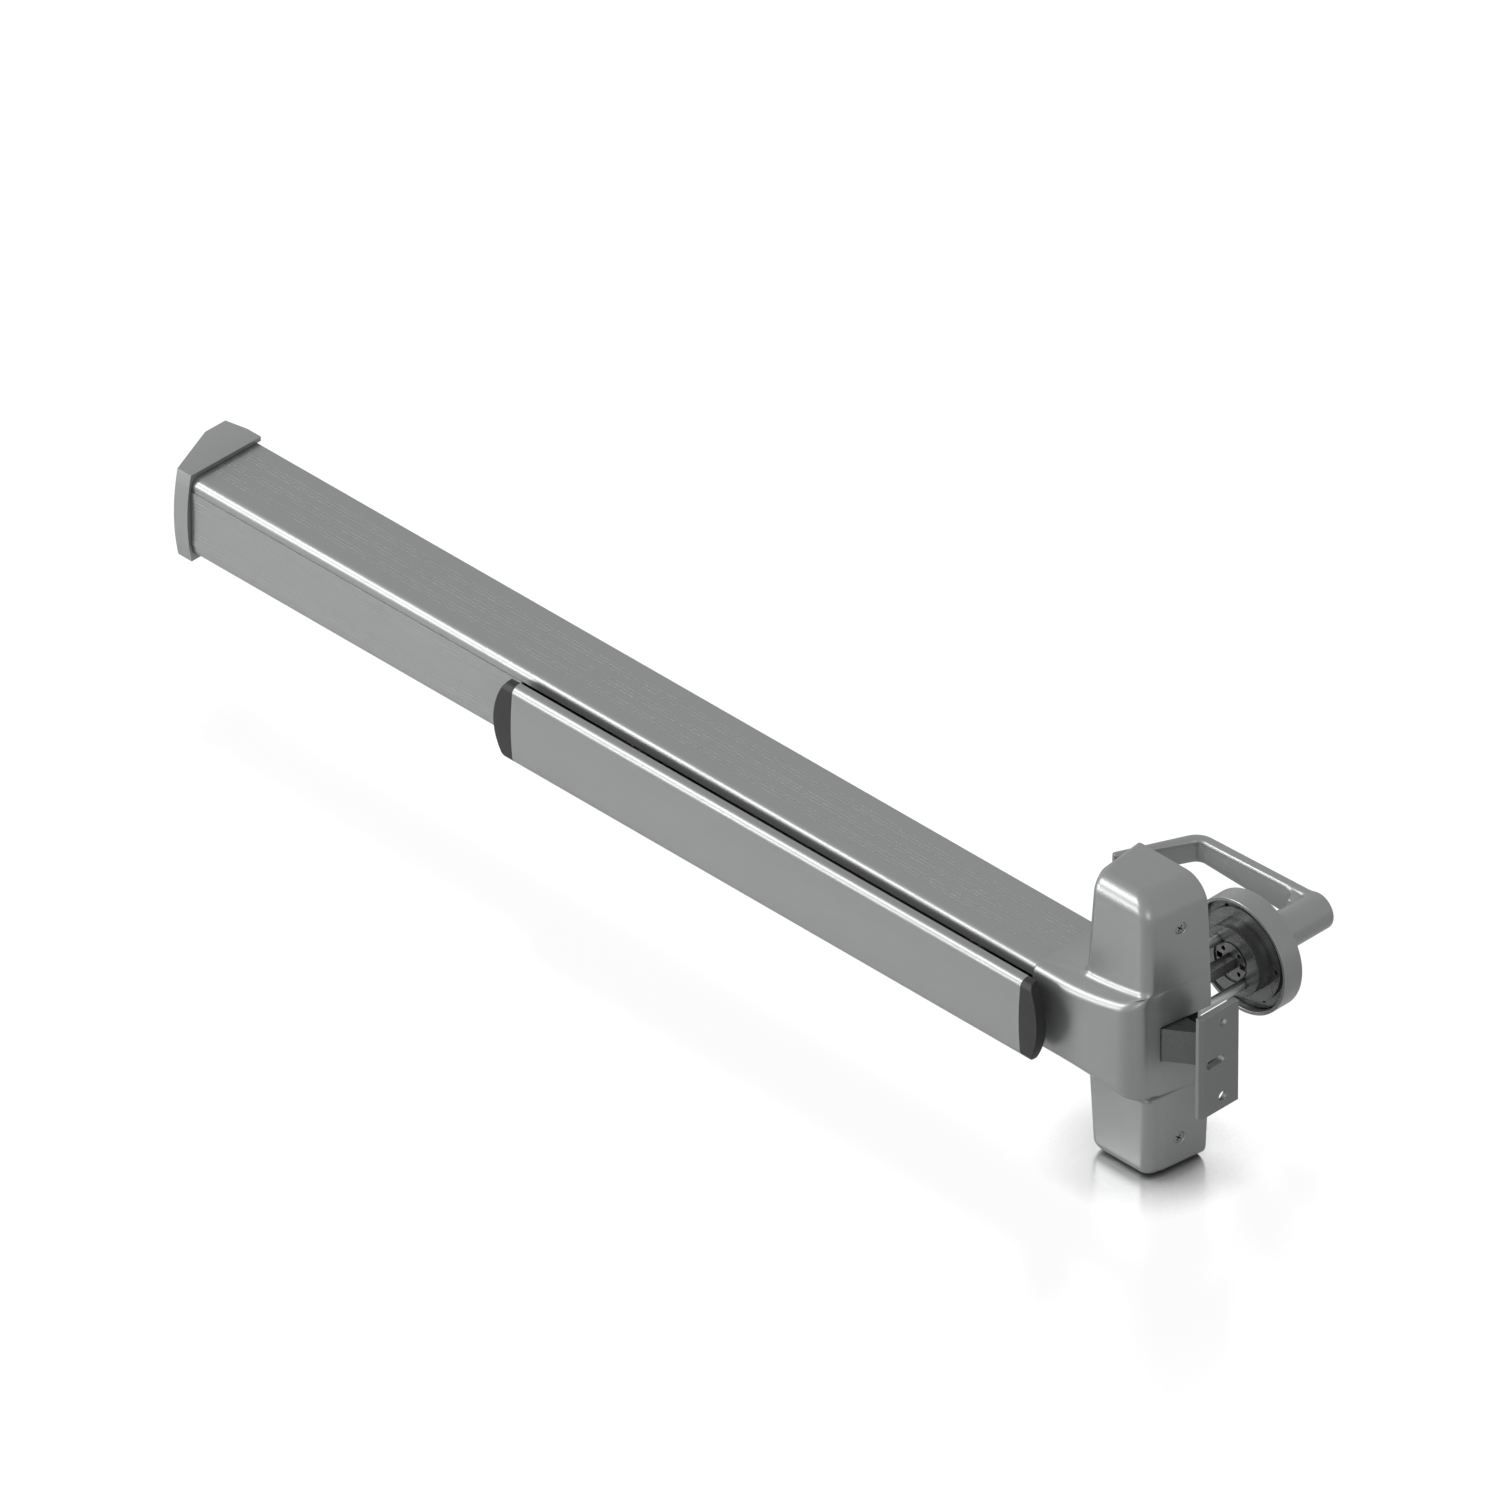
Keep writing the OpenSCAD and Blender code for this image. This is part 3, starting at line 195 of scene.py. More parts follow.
# Finishes
NEUTRAL, YELLOW = (0.985, 1.0, 1.005), (1.1, 0.98, 0.6)
METAL_EDGE, PLASTIC_EDGE, GAP_REACH = 0.0007, 0.0009, 0.003
METAL_BUMP, PLASTIC_BUMP = 0.02, 0.12


def grey(level, tint=NEUTRAL):
    """A colour from one linear level, near neutral unless it is tinted."""
    return (level * tint[0], level * tint[1], level * tint[2], 1.0)


def metal(name, level, roughness, metallic, grain, grain_amount, cloud=0.03,
          wear=0.35, gap_shade=0.9, tint=NEUTRAL):
    """Satin metal: brushed strands, clouds, fine bumps, bright worn edges, and painted shade that
    darkens it in every gap or recess.
    """
    f = Finish(name)
    place = f.node("TexCoord", None, None, "Object")
    clouds = f.noise(place, (18, 40, 40), 3.0)
    pits = f.noise(place, (900, 900, 900))
    strands = f.noise(place, grain, rough=0.6)
    tone = clouds * cloud * 4 + pits * 0.05 + strands * grain_amount * 4
    height = pits * 0.6 + strands * 0.8
    worn = f.edges(METAL_EDGE)
    # Painted shade: the mask is high where ambient occlusion finds a gap or recess between or
    # inside the parts.
    closed = 1 - f.air(4, GAP_REACH)
    colour = f.mix(tone + 0.5, grey(level * 0.82, tint), grey(level * 1.18, tint))
    colour = f.mix(worn * wear, colour, grey(min(1.0, level * 1.7), tint))
    # Painted shade: the colour darkens towards an eighth of its level in each gap or recess.
    colour = f.mix(closed * gap_shade, colour, grey(level * 0.12, tint))
    rough = roughness + clouds * 0.12 + height * 0.05 - worn * 0.08
    return f.surface(Base_Color=colour, Roughness=rough, Metallic=metallic,
                     Normal=f.bump(METAL_BUMP, height))


def plastic(name, level):
    """Moulded plastic: fine grain in the bump and small changes of gloss."""
    f = Finish(name)
    place = f.node("TexCoord", None, None, "Object")
    grain = f.noise(place, (1500, 1500, 1500))
    clouds = f.noise(place, (30, 30, 30), 3.0)
    worn = f.edges(PLASTIC_EDGE)
    shade = f.mix(clouds * 0.8 + grain * 0.4 + 0.5, grey(level * 0.85), grey(level * 1.15))
    colour = f.mix(worn * 0.4, shade, grey(level * 2.2))
    return f.surface(Base_Color=colour, Roughness=0.5 + clouds * 0.2 + grain * 0.1,
                     Specular_IOR_Level=0.3, Normal=f.bump(PLASTIC_BUMP, grain))


# Level, roughness, metallic share, stretch of the grain, its amount and that of the clouds
FINISHES = {
    # The last keywords set worn edges and painted shade in each gap: no painted shade on the case,
    # strong painted shade in the screws' recesses and seats.
    "satin_case": metal("satin_case", 0.28, 0.38, 0.55, (0.5, 900, 900), 0.02, 0.015,
                        wear=0.0, gap_shade=0.0),
    "satin_pad": metal("satin_pad", 0.26, 0.36, 0.55, (2, 400, 400), 0.03, 0.015),
    "cast_satin": metal("cast_satin", 0.275, 0.36, 0.55, (3, 350, 450), 0.045, 0.02, wear=0.15),
    "steel_plate": metal("steel_plate", 0.24, 0.45, 0.7, (60, 60, 900), 0.05),
    "zinc_plate": metal("zinc_plate", 0.36, 0.42, 0.75, (60, 900, 900), 0.03, 0.07),
    "yellow_steel": metal("yellow_steel", 0.38, 0.4, 0.75, (300, 300, 300), 0.03, 0.08,
                          tint=YELLOW),
    "steel_pins": metal("steel_pins", 0.4, 0.3, 0.85, (900, 900, 60), 0.03),
    "spring_wire": metal("spring_wire", 0.42, 0.3, 0.9, (200, 200, 200), 0.03),
    "screws": metal("screws", 0.26, 0.35, 0.6, (900, 300, 300), 0.03, gap_shade=1.5),
    "dark_plastic": plastic("dark_plastic", 0.021),
    "dark_steel": metal("dark_steel", 0.12, 0.27, 0.5, (300, 300, 300), 0.03, 0.06),
    "strike_steel": metal("strike_steel", 0.185, 0.5, 0.3, (700, 60, 700), 0.03, 0.04),
}


# Mesh helpers
def blank(name, verts, faces):
    """A new mesh object from points in millimetres."""
    mesh = bpy.data.meshes.new(name)
    mesh.from_pydata([tuple(c * MM for c in v) for v in verts], [], faces)
    obj = bpy.data.objects.new(name, mesh)
    bpy.context.scene.collection.objects.link(obj)
    outward(obj)
    return obj


def outward(obj):
    """Joins the points that meet and points every face of a closed mesh outwards."""
    work = bmesh.new()
    work.from_mesh(obj.data)
    bmesh.ops.remove_doubles(work, verts=work.verts, dist=1e-6)
    bmesh.ops.recalc_face_normals(work, faces=work.faces)
    work.to_mesh(obj.data)
    work.free()


def loft(name, rings, closed=False):
    """A skin through rings of equal length, capped at both ends or closed on itself."""
    count, rows = len(rings[0]), len(rings)
    verts = [p for ring in rings for p in ring]
    faces = []
    for row in range(rows if closed else rows - 1):
        low, high = row * count, (row + 1) % rows * count
        for i in range(count):
            j = (i + 1) % count
            faces.append((low + i, low + j, high + j, high + i))
    if not closed:
        faces.append(tuple(range(count))[::-1])
        faces.append(tuple(range(len(verts) - count, len(verts))))
    return blank(name, verts, faces)


def prism(name, outline, axis, start, end):
    """An outline carried along an axis. It is drawn in (y, z), (x, z) or (x, y)."""
    put = {"X": lambda p, t: (t, p[0], p[1]), "Y": lambda p, t: (p[0], t, p[1]),
           "Z": lambda p, t: (p[0], p[1], t)}[axis]
    return loft(name, [[put(p, t) for p in outline] for t in (start, end)])


def box(name, low, high):
    outline = [(low[0], low[1]), (high[0], low[1]), (high[0], high[1]), (low[0], high[1])]
    return prism(name, outline, "Z", low[2], high[2])


def arc(centre, radius, start, end, count):
    """Points on an arc, angles in degrees, ends included."""
    angles = [math.radians(start + (end - start) * k / count) for k in range(count + 1)]
    return [(centre[0] + radius * math.cos(a), centre[1] + radius * math.sin(a)) for a in angles]


def turned(name, profile, axis, centre, count=96, closed=False):
    """A profile of (radius, place along the axis) turned round the axis through the centre."""
    rings = []
    for radius, along in profile:
        ring = []
        for k in range(count):
            a = 2 * math.pi * k / count
            u, v = radius * math.cos(a), radius * math.sin(a)
            ring.append({"X": (along, centre[1] + u, centre[2] + v),
                         "Y": (centre[0] + u, along, centre[2] + v),
                         "Z": (centre[0] + u, centre[1] + v, along)}[axis])
        rings.append(ring)
    return loft(name, rings, closed)


def baked(obj):
    """Turns an object's modifiers into its mesh."""
    bpy.context.view_layer.update()
    ready = obj.evaluated_get(bpy.context.evaluated_depsgraph_get())
    mesh = bpy.data.meshes.new_from_object(ready)
    obj.modifiers.clear()
    obj.data = mesh
    return obj


def combine(obj, others, operation="DIFFERENCE", folded=False):
    """Cuts the others out of a piece, or adds them to it. A folded skin is cleared up first."""
    for other in others:
        step = obj.modifiers.new("step", "BOOLEAN")
        step.operation, step.object, step.solver = operation, other, "EXACT"
        step.use_self = folded
    baked(obj)
    for other in others:
        bpy.data.objects.remove(other)
    return obj


def blend(obj, cell, rounds):
    """Melts joined forms into one cast skin: an even net, then a few rounds of smoothing."""
    net = obj.modifiers.new("net", "REMESH")
    net.mode, net.voxel_size = "VOXEL", cell * MM
    ease = obj.modifiers.new("ease", "SMOOTH")
    ease.factor, ease.iterations = 0.5, rounds
    return baked(obj)


def place(obj, node, angle=32, flat=False):
    """Gives a finished piece its finish and its body, in place of the CAD node it stands for."""
    obj.data.shade_smooth()
    obj.data.set_sharp_from_angle(angle=math.radians(angle))
    if flat:
        step = obj.modifiers.new("flat", "WEIGHTED_NORMAL")
        step.mode, step.keep_sharp = "FACE_AREA", True
        baked(obj)
    slot = SLOT_OF[node]
    obj.data.materials.clear()
    obj.data.materials.append(FINISHES[slot])
    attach(obj, BODY_OF[node])
    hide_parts(node)
    return obj


def from_cad(node, name):
    """A merged copy of a CAD node, with its flat faces joined up again."""
    obj = bpy.data.objects.new(name, NODES[node].data.copy())
    bpy.context.scene.collection.objects.link(obj)
    work = bmesh.new()
    work.from_mesh(obj.data)
    bmesh.ops.remove_doubles(work, verts=work.verts, dist=2e-6)
    bmesh.ops.dissolve_limit(work, angle_limit=math.radians(0.6), verts=work.verts,
                             edges=work.edges)
    work.to_mesh(obj.data)
    work.free()
    return obj


def softened(node, width):
    """The CAD node's own shape with its sharp edges rounded, as a piece in its place."""
    piece = from_cad(node, node + "_soft")
    step = piece.modifiers.new("soft", "BEVEL")
    step.width, step.segments, step.limit_method = width * MM, 2, "ANGLE"
    step.angle_limit, step.harden_normals = math.radians(32), False
    step.use_clamp_overlap = True
    place(baked(piece), node, flat=True)


def eased(node, axis, faces, depth, left):
    """The CAD node's own shape with its fine grooves drawn up, so that they shade as soft lines.

    The grooves are as deep below the faces as depth says, and keep the share of it that is left.
    """
    piece = from_cad(node, node + "_eased")
    for vertex in piece.data.vertices:
        for face in faces:
            floor_at = face - math.copysign(depth, face)
            if abs(vertex.co[axis] / MM - floor_at) < 0.02:
                vertex.co[axis] = (face - math.copysign(depth * left, face)) * MM
    place(piece, node, flat=True)


# Head cover
def corner_in(d, r):
    """How far a rounded corner of radius r draws in at the distance d from its end."""
    return 0.0 if d >= r else r - math.sqrt(max(0.0, r * r - (r - d) ** 2))


def half_w(z):
    return HEAD_HALF_W - SIDE_LEAN * max(0.0, abs(z - LATCH_Z) - SIDE_LEAN_FROM)


def body_depth(z):
    """Depth of the tower above the middle, of the lower body below it."""
    if z > 0:
        return TOWER_D + TOWER_LEAN * (BODY_LEAN_FROM - z)
    return LOWER_D + LOWER_LEAN * (BODY_LEAN_FROM + z)


def belly_depth(x):
    return BELLY_D - BELLY_FALL * max(0.0, x - FLARE_X) ** 2


def belly_edge(x, up):
    return NECK_HALF + (FLARE_UP if up else FLARE_DOWN) * max(0.0, x - FLARE_X) ** 2


def shelf_on(x):
    """Share of the shelf's slope, which grows from the neck towards the latch."""
    return min(1.0, max(0.0, (x - SHELF_X) / SHELF_GROWTH))


def shelf_z(x, up):
    """Where the shelf beside the tower meets the cove at the tower's foot."""
    a = math.radians(SHELF_A)
    run = (belly_depth(x) - body_depth(SHELF_Z if up else -SHELF_Z)
           - (EDGE_R + COVE_R) * (1 - math.sin(a)))
    return belly_edge(x, up) + (run * math.tan(a) - EDGE_R * (1 - math.cos(a))) * shelf_on(x)


def plan_point(i, left, right, depth, radii, drafts, counts):
    """Point i of one row in plan: left side, left corner, front, right corner, right side."""
    side, corner, front = counts
    left_r, right_r = radii
    left_draft, right_draft = drafts
    front_left, front_right = left + left_draft * depth, right - right_draft * depth
    if i <= side:
        t = i / side * (depth - left_r)
        return left + left_draft * t, -t
    if i <= side + corner:
        a = math.radians(90 * (i - side) / corner)
        return (front_left + left_r - left_r * math.cos(a),
                -depth + left_r - left_r * math.sin(a))
    if i <= side + corner + front:
        t = (i - side - corner) / front
        return front_left + left_r + t * (front_right - right_r - front_left - left_r), -depth
    if i <= side + 2 * corner + front:
        a = math.radians(90 * (i - side - corner - front) / corner)
        return (front_right - right_r + right_r * math.sin(a),
                -depth + right_r - right_r * math.cos(a))
    t = (1 - (i - side - 2 * corner - front) / side) * (depth - right_r)
    return right - right_draft * t, -t


def head_rows(inset, up, counts, arcs, straights):
    """Rows of one half of the head's skin, from the middle outwards, inset for the hollow."""
    sign = 1 if up else -1
    span = math.radians(90 - SHELF_A)
    side, corner, front = counts
    columns = range(2 * side + 2 * corner + front + 1)
    end = (HEAD_TOP if up else HEAD_BOT) - inset
    crown_r = TOP_R if up else LOW_R
    left_r, right_r = (TOP_LEFT_R, TOP_RIGHT_R) if up else (LOW_SIDE_R, LOW_SIDE_R)

    def belly(i, back, down):
        """A point of the belly, back from its front and down from its edge."""
        x, y = plan_point(i, -NECK_X - (1 if inset else 0), HEAD_HALF_W - inset, BELLY_D - inset,
                          BELLY_CORNERS, (0, DRAFT), counts)
        y += (BELLY_D - belly_depth(x) + back) * min(1.0, -y / BELLY_FADE)
        z = belly_edge(x, up) - inset - down
        past_corner = min(1.0, max(0.0, (i - side - corner - front) / corner))
        return x - (HEAD_HALF_W - half_w(sign * z)) * past_corner, y, sign * z

    def rounded(i, part):
        """A point on the belly's rounded edge, part of the way round it."""
        slope = SHELF_A * shelf_on(belly(i, 0, EDGE_R)[0])
        a = math.radians(part * (90 - slope))
        return belly(i, EDGE_R * (1 - math.cos(a)), EDGE_R * (1 - math.sin(a)))

    def body(i, z, out):
        """A point of the tower or the lower body, out from its face."""
        half = half_w(sign * z) - inset
        depth = body_depth(sign * z) - inset - corner_in(end - z, crown_r) + out
        left = -(half - corner_in(end - z, left_r)) - out
        right = half - corner_in(end - z, right_r)
        x, y = plan_point(i, left, right, depth, BODY_CORNERS, (DRAFT, DRAFT), counts)
        return x, y, sign * z

    def cove(i, a):
        """A point in the cove between shelf and body, at the angle a."""
        out = (COVE_R + inset) * (1 - math.cos(a))
        foot = shelf_z(body(i, COVE_Z, out)[0], up)
        top = foot + COVE_R * math.cos(math.radians(SHELF_A)) - inset
        return body(i, top - (COVE_R + inset) * math.sin(a), out)

    rows = [[belly(i, 0, down) for i in columns]
            for down in np.linspace(NECK_HALF - inset - 1, EDGE_R, 4)]
    for k in range(1, arcs + 1):
        rows.append([rounded(i, k / arcs) for i in columns])
    for k in range(arcs + 1):
        rows.append([cove(i, span * (1 - k / arcs)) for i in columns])
    for k in range(straights + 1):
        z = STRAIGHT_Z + (end - crown_r - STRAIGHT_Z) * k / straights
        rows.append([body(i, z, 0) for i in columns])
    for k in range(1, 2 * arcs + 1):
        a = math.pi / 2 * k / (2 * arcs)
        rows.append([body(i, end - crown_r + crown_r * math.sin(a), 0) for i in columns])
    return rows


def head_skin(name, inset, net):
    """The head's skin from below to above, carried past the door's face."""
    rows = head_rows(inset, False, *net)[::-1] + head_rows(inset, True, *net)
    back = 3.0 if inset else 2.0
    rows = [[(r[0][0], back, r[0][2])] + r + [(r[-1][0], back, r[-1][2])] for r in rows]
    return loft(name, rows)


def bar_outline(back, grow):
    """Outline of the bar in (y, z), square at the back and round at the front."""
    front, half, r = CASE_FRONT - grow, CASE_HALF + grow, CASE_CORNER_R + grow
    return ([(back, -half)] + arc((front + r, -half + r), r, 270, 180, 8)
            + arc((front + r, half - r), r, 180, 90, 8) + [(back, half)])


def head_cover():
    cover = head_skin("head_cover_fine", 0, OUTER_NET)
    left, right = -NECK_X - 1, HEAD_HALF_W + 1
    cutters = [head_skin("hollow", HEAD_WALL, HOLLOW_NET),
               box("door_side", (left, 0, -HEAD_BOT - 1), (right, 4, HEAD_TOP + 1)),
               prism("bar", bar_outline(1, PORT_GAP), "X", left, PORT_END - HEAD_HALF_W),
               box("notch", (NOTCH_X, NOTCH_Y, LATCH_Z - NOTCH_HALF),
                   (right, 1, LATCH_Z + NOTCH_HALF))]
    for side in (-1, 1):
        for z in (SCREW_UP, SCREW_DOWN):
            x = half_w(z) + DRAFT * SCREW_Y
            seat = [(SEAT_HOLE_R, side * (x - 8)), (SEAT_HOLE_R, side * (x - SEAT_DEPTH)),
                    (SEAT_R, side * (x + 0.4)), (SEAT_R, side * (x + 4))]
            cutters.append(turned("seat", seat, "X", (0, SCREW_Y, z), 48))
    combine(cover, cutters, folded=True)
    place(cover, "head_cover", angle=38)


# Screws
def screw():
    """A countersunk screw with a cross recess, head up along +Z with its top at z = 0."""
    profile = [(SHANK_R * 0.3, -SCREW_L), (SHANK_R, 1 - SCREW_L), (SHANK_R, -SCREW_HEAD),
               (SCREW_R - 0.15, -0.35), (SCREW_R, -0.2), (SCREW_R - 0.25, 0.0)]
    piece = turned("screw", profile, "Z", (0, 0, 0), 40)
    slots = []
    for turn in (45, 135):
        rings = []
        for z, share in ((-CROSS_DEPTH, CROSS_FOOT), (0.2, CROSS_TOP)):
            half = SCREW_R * share
            rings.append([(-half, -CROSS_HALF, z), (half, -CROSS_HALF, z),
                          (half, CROSS_HALF, z), (-half, CROSS_HALF, z)])
        slot = loft("slot", rings)
        slot.data.transform(Matrix.Rotation(math.radians(turn), 4, "Z"))
        slots.append(slot)
    return combine(piece, slots)


def spread_tree():
    """Geometry Nodes: one piece set on every point, its +Z turned to the point's aim."""
    tree = bpy.data.node_groups.new("set_on_points", "GeometryNodeTree")
    face = tree.interface
    face.new_socket("Points", in_out="INPUT", socket_type="NodeSocketGeometry")
    piece = face.new_socket("Piece", in_out="INPUT", socket_type="NodeSocketObject")
    finish = face.new_socket("Finish", in_out="INPUT", socket_type="NodeSocketMaterial")
    face.new_socket("Pieces", in_out="OUTPUT", socket_type="NodeSocketGeometry")
    new, join = tree.nodes.new, tree.links.new
    start, end = new("NodeGroupInput"), new("NodeGroupOutput")
    info, aim = new("GeometryNodeObjectInfo"), new("GeometryNodeInputNamedAttribute")
    aim.data_type = "FLOAT_VECTOR"
    aim.inputs["Name"].default_value = "aim"
    turn = new("FunctionNodeAlignRotationToVector")
    turn.axis = "Z"
    setter, real = new("GeometryNodeInstanceOnPoints"), new("GeometryNodeRealizeInstances")
    paint = new("GeometryNodeSetMaterial")
    join(start.outputs["Piece"], info.inputs["Object"])
    join(start.outputs["Points"], setter.inputs["Points"])
    join(info.outputs["Geometry"], setter.inputs["Instance"])
    join(aim.outputs["Attribute"], turn.inputs["Vector"])
    join(turn.outputs["Rotation"], setter.inputs["Rotation"])
    join(setter.outputs["Instances"], real.inputs["Geometry"])
    join(real.outputs["Geometry"], paint.inputs["Geometry"])
    join(start.outputs["Finish"], paint.inputs["Material"])
    join(paint.outputs["Geometry"], end.inputs["Pieces"])
    return tree, piece.identifier, finish.identifier


SPREAD, SPREAD_PIECE, SPREAD_FINISH = spread_tree()


def set_on_points(name, model, points, node):
    """Sets a model on points of (place, aim) and makes one piece of them."""
    mesh = bpy.data.meshes.new(name)
    mesh.from_pydata([tuple(c * MM for c in p) for p, _ in points], [], [])
    mesh.attributes.new("aim", "FLOAT_VECTOR", "POINT").data.foreach_set(
        "vector", [c for _, aim in points for c in aim])
    obj = bpy.data.objects.new(name, mesh)
    bpy.context.scene.collection.objects.link(obj)
    step = obj.modifiers.new("spread", "NODES")
    step.node_group = SPREAD
    step[SPREAD_PIECE] = model
    step[SPREAD_FINISH] = FINISHES[SLOT_OF[node]]
    baked(obj)
    bpy.data.objects.remove(model)
    place(obj, node, angle=40)


def cover_screws():
    slope = Vector((1, -DRAFT, 0)).normalized()
    points = []
    for side in (-1, 1):
        for z in (SCREW_UP, SCREW_DOWN):
            x = half_w(z) + DRAFT * SCREW_Y - SCREW_SUNK
            points.append(((side * x, SCREW_Y, z), (side * slope.x, slope.y, 0)))
    set_on_points("cover_screws_fine", screw(), points, "cover_screws")


# Springs
def coil_tree():
    """Geometry Nodes: a round wire wound on a cylinder along +Z."""
    tree = bpy.data.node_groups.new("wound_wire", "GeometryNodeTree")
    face = tree.interface
    face.new_socket("Start", in_out="INPUT", socket_type="NodeSocketGeometry")
    names = {}
    for label, kind in (("Turns", "Float"), ("Radius", "Float"), ("Height", "Float"),
                        ("Wire", "Float"), ("Finish", "Material")):
        names[label] = face.new_socket(label, in_out="INPUT",
                                       socket_type="NodeSocket" + kind).identifier
    face.new_socket("Spring", in_out="OUTPUT", socket_type="NodeSocketGeometry")
    new, join = tree.nodes.new, tree.links.new
    start, end = new("NodeGroupInput"), new("NodeGroupOutput")
    spiral, ring = new("GeometryNodeCurveSpiral"), new("GeometryNodeCurvePrimitiveCircle")
    sweep, real = new("GeometryNodeCurveToMesh"), new("GeometryNodeRealizeInstances")
    paint = new("GeometryNodeSetMaterial")
    spiral.inputs["Resolution"].default_value = 40
    ring.inputs["Resolution"].default_value = 12
    sweep.inputs["Fill Caps"].default_value = True
    join(start.outputs["Turns"], spiral.inputs["Rotations"])
    join(start.outputs["Radius"], spiral.inputs["Start Radius"])
    join(start.outputs["Radius"], spiral.inputs["End Radius"])
    join(start.outputs["Height"], spiral.inputs["Height"])
    join(start.outputs["Wire"], ring.inputs["Radius"])
    join(spiral.outputs["Curve"], sweep.inputs["Curve"])
    join(ring.outputs["Curve"], sweep.inputs["Profile Curve"])
    join(sweep.outputs["Mesh"], real.inputs["Geometry"])
    join(real.outputs["Geometry"], paint.inputs["Geometry"])
    join(start.outputs["Finish"], paint.inputs["Material"])
    join(paint.outputs["Geometry"], end.inputs["Spring"])
    return tree, names


COIL, COIL_NAMES = coil_tree()


def spring(node, start, end, centre, radius, turns, wire, axis):
    """A wound spring between two places on an axis through the centre."""
    obj = blank(node + "_wound", [(0, 0, 0)], [])
    step = obj.modifiers.new("wind", "NODES")
    step.node_group = COIL
    for label, value in (("Turns", float(turns)), ("Radius", radius * MM),
                         ("Height", (end - start) * MM), ("Wire", wire / 2 * MM),
                         ("Finish", FINISHES["spring_wire"])):
        step[COIL_NAMES[label]] = value
    baked(obj)
    if axis == "X":
        spin = Matrix.Rotation(math.pi / 2, 4, "Y")
        shift = Vector((start, centre[0], centre[1]))
    else:
        spin = Matrix.Rotation(-math.pi / 2, 4, "X")
        shift = Vector((centre[0], start, centre[1]))
    obj.data.transform(Matrix.Translation(shift * MM) @ spin)
    outward(obj)
    return place(obj, node, angle=60)


# Lever and rose
def lever_line():
    """Stations on the lever's middle line: x, y, the angle, and 0 to 1 to 2 for grip and return."""
    grip_y = LEVER_REACH - GRIP_T / 2
    turn = 90 - RETURN_A
    bend_x = -LEVER_L + GRIP_T / 2 + BEND_R * math.tan(math.radians(turn / 2)) * 0.45
    line = [(bend_x * k / GRIP_STEPS, grip_y, 0.0, k / GRIP_STEPS) for k in range(GRIP_STEPS + 1)]
    for k in range(1, BEND_STEPS + 1):
        a = math.radians(turn * k / BEND_STEPS)
        line.append((bend_x - BEND_R * math.sin(a), grip_y - BEND_R * (1 - math.cos(a)), a, 1.0))
    x, y, a, _ = line[-1]
    run = RETURN_L - BEND_R * 0.6
    for k in range(1, RETURN_STEPS + 1):
        along = run * k / RETURN_STEPS
        line.append((x - along * math.cos(a), y - along * math.sin(a), a, 1 + k / RETURN_STEPS))
    return line


def lever_ring(x, y, a, t):
    """A squared oval across the lever's middle line."""
    half_z = HUB_R - (HUB_R - GRIP_HALF) * min(t, 1)
    half_t = (GRIP_T - RETURN_THINS * max(0, t - 1)) / 2
    ring = []
    for k in range(RING_STEPS):
        b = 2 * math.pi * k / RING_STEPS
        c, s = math.cos(b), math.sin(b)
        u = half_t * math.copysign(abs(c) ** 0.5, c)
        v = half_z * math.copysign(abs(s) ** 0.5, s)
        ring.append((x - math.sin(a) * u, y + math.cos(a) * u, TRIM_Z + v))
    return ring


def lever_handle():
    lever = loft("lever_handle_fine", [lever_ring(*station) for station in lever_line()])
    middle = (0, 0, TRIM_Z)
    hub = turned("hub", [(HUB_R, DOOR_T + HUB_FOOT), (HUB_R, LEVER_REACH)], "Y", middle)
    inner_y = LEVER_REACH - GRIP_T
    round_x, round_y = -HUB_R - FILLET_R, inner_y - FILLET_R
    corner = [(-2, inner_y + 1), (round_x, inner_y + 1)]
    corner += arc((round_x, round_y), FILLET_R, 90, 0, 12) + [(-2, round_y)]
    half = HUB_R - FILLET_SHORT
    fillet = prism("fillet", corner, "Z", TRIM_Z - half, TRIM_Z + half)
    combine(lever, [hub, fillet], "UNION")
    blend(lever, CAST_CELL, CAST_ROUNDS)
    hole = box("hole", (-SOCKET_HALF, DOOR_T + 10, TRIM_Z - SOCKET_HALF),
               (SOCKET_HALF, LEVER_REACH - SOCKET_TOP, TRIM_Z + SOCKET_HALF))
    foot = turned("foot", [(HUB_R + 3, DOOR_T + 8), (HUB_R + 3, DOOR_T + HUB_FOOT + 0.4)],
                  "Y", middle)
    combine(lever, [hole, foot])
    place(lever, "lever_handle", angle=40)


def trim_rose():
    front, back, hole_r, inner_r = DOOR_T + ROSE_T, DOOR_T, HUB_R + 0.3, ROSE_R - ROSE_WALL
    edge = arc((ROSE_R - ROSE_EDGE_R, front - ROSE_EDGE_R), ROSE_EDGE_R, 90, 0, 6)
    profile = ([(hole_r, front - ROSE_WALL), (hole_r, front - 0.4), (hole_r + 0.4, front)] + edge
               + [(ROSE_R, back + ROSE_BREAK), (ROSE_R - ROSE_BREAK, back),
                  (inner_r + ROSE_BREAK, back), (inner_r, back + ROSE_BREAK),
                  (inner_r, front - ROSE_WALL)])
    rose = turned("trim_rose_fine", profile, "Y", (0, 0, TRIM_Z), 128, closed=True)
    place(rose, "trim_rose", angle=40)


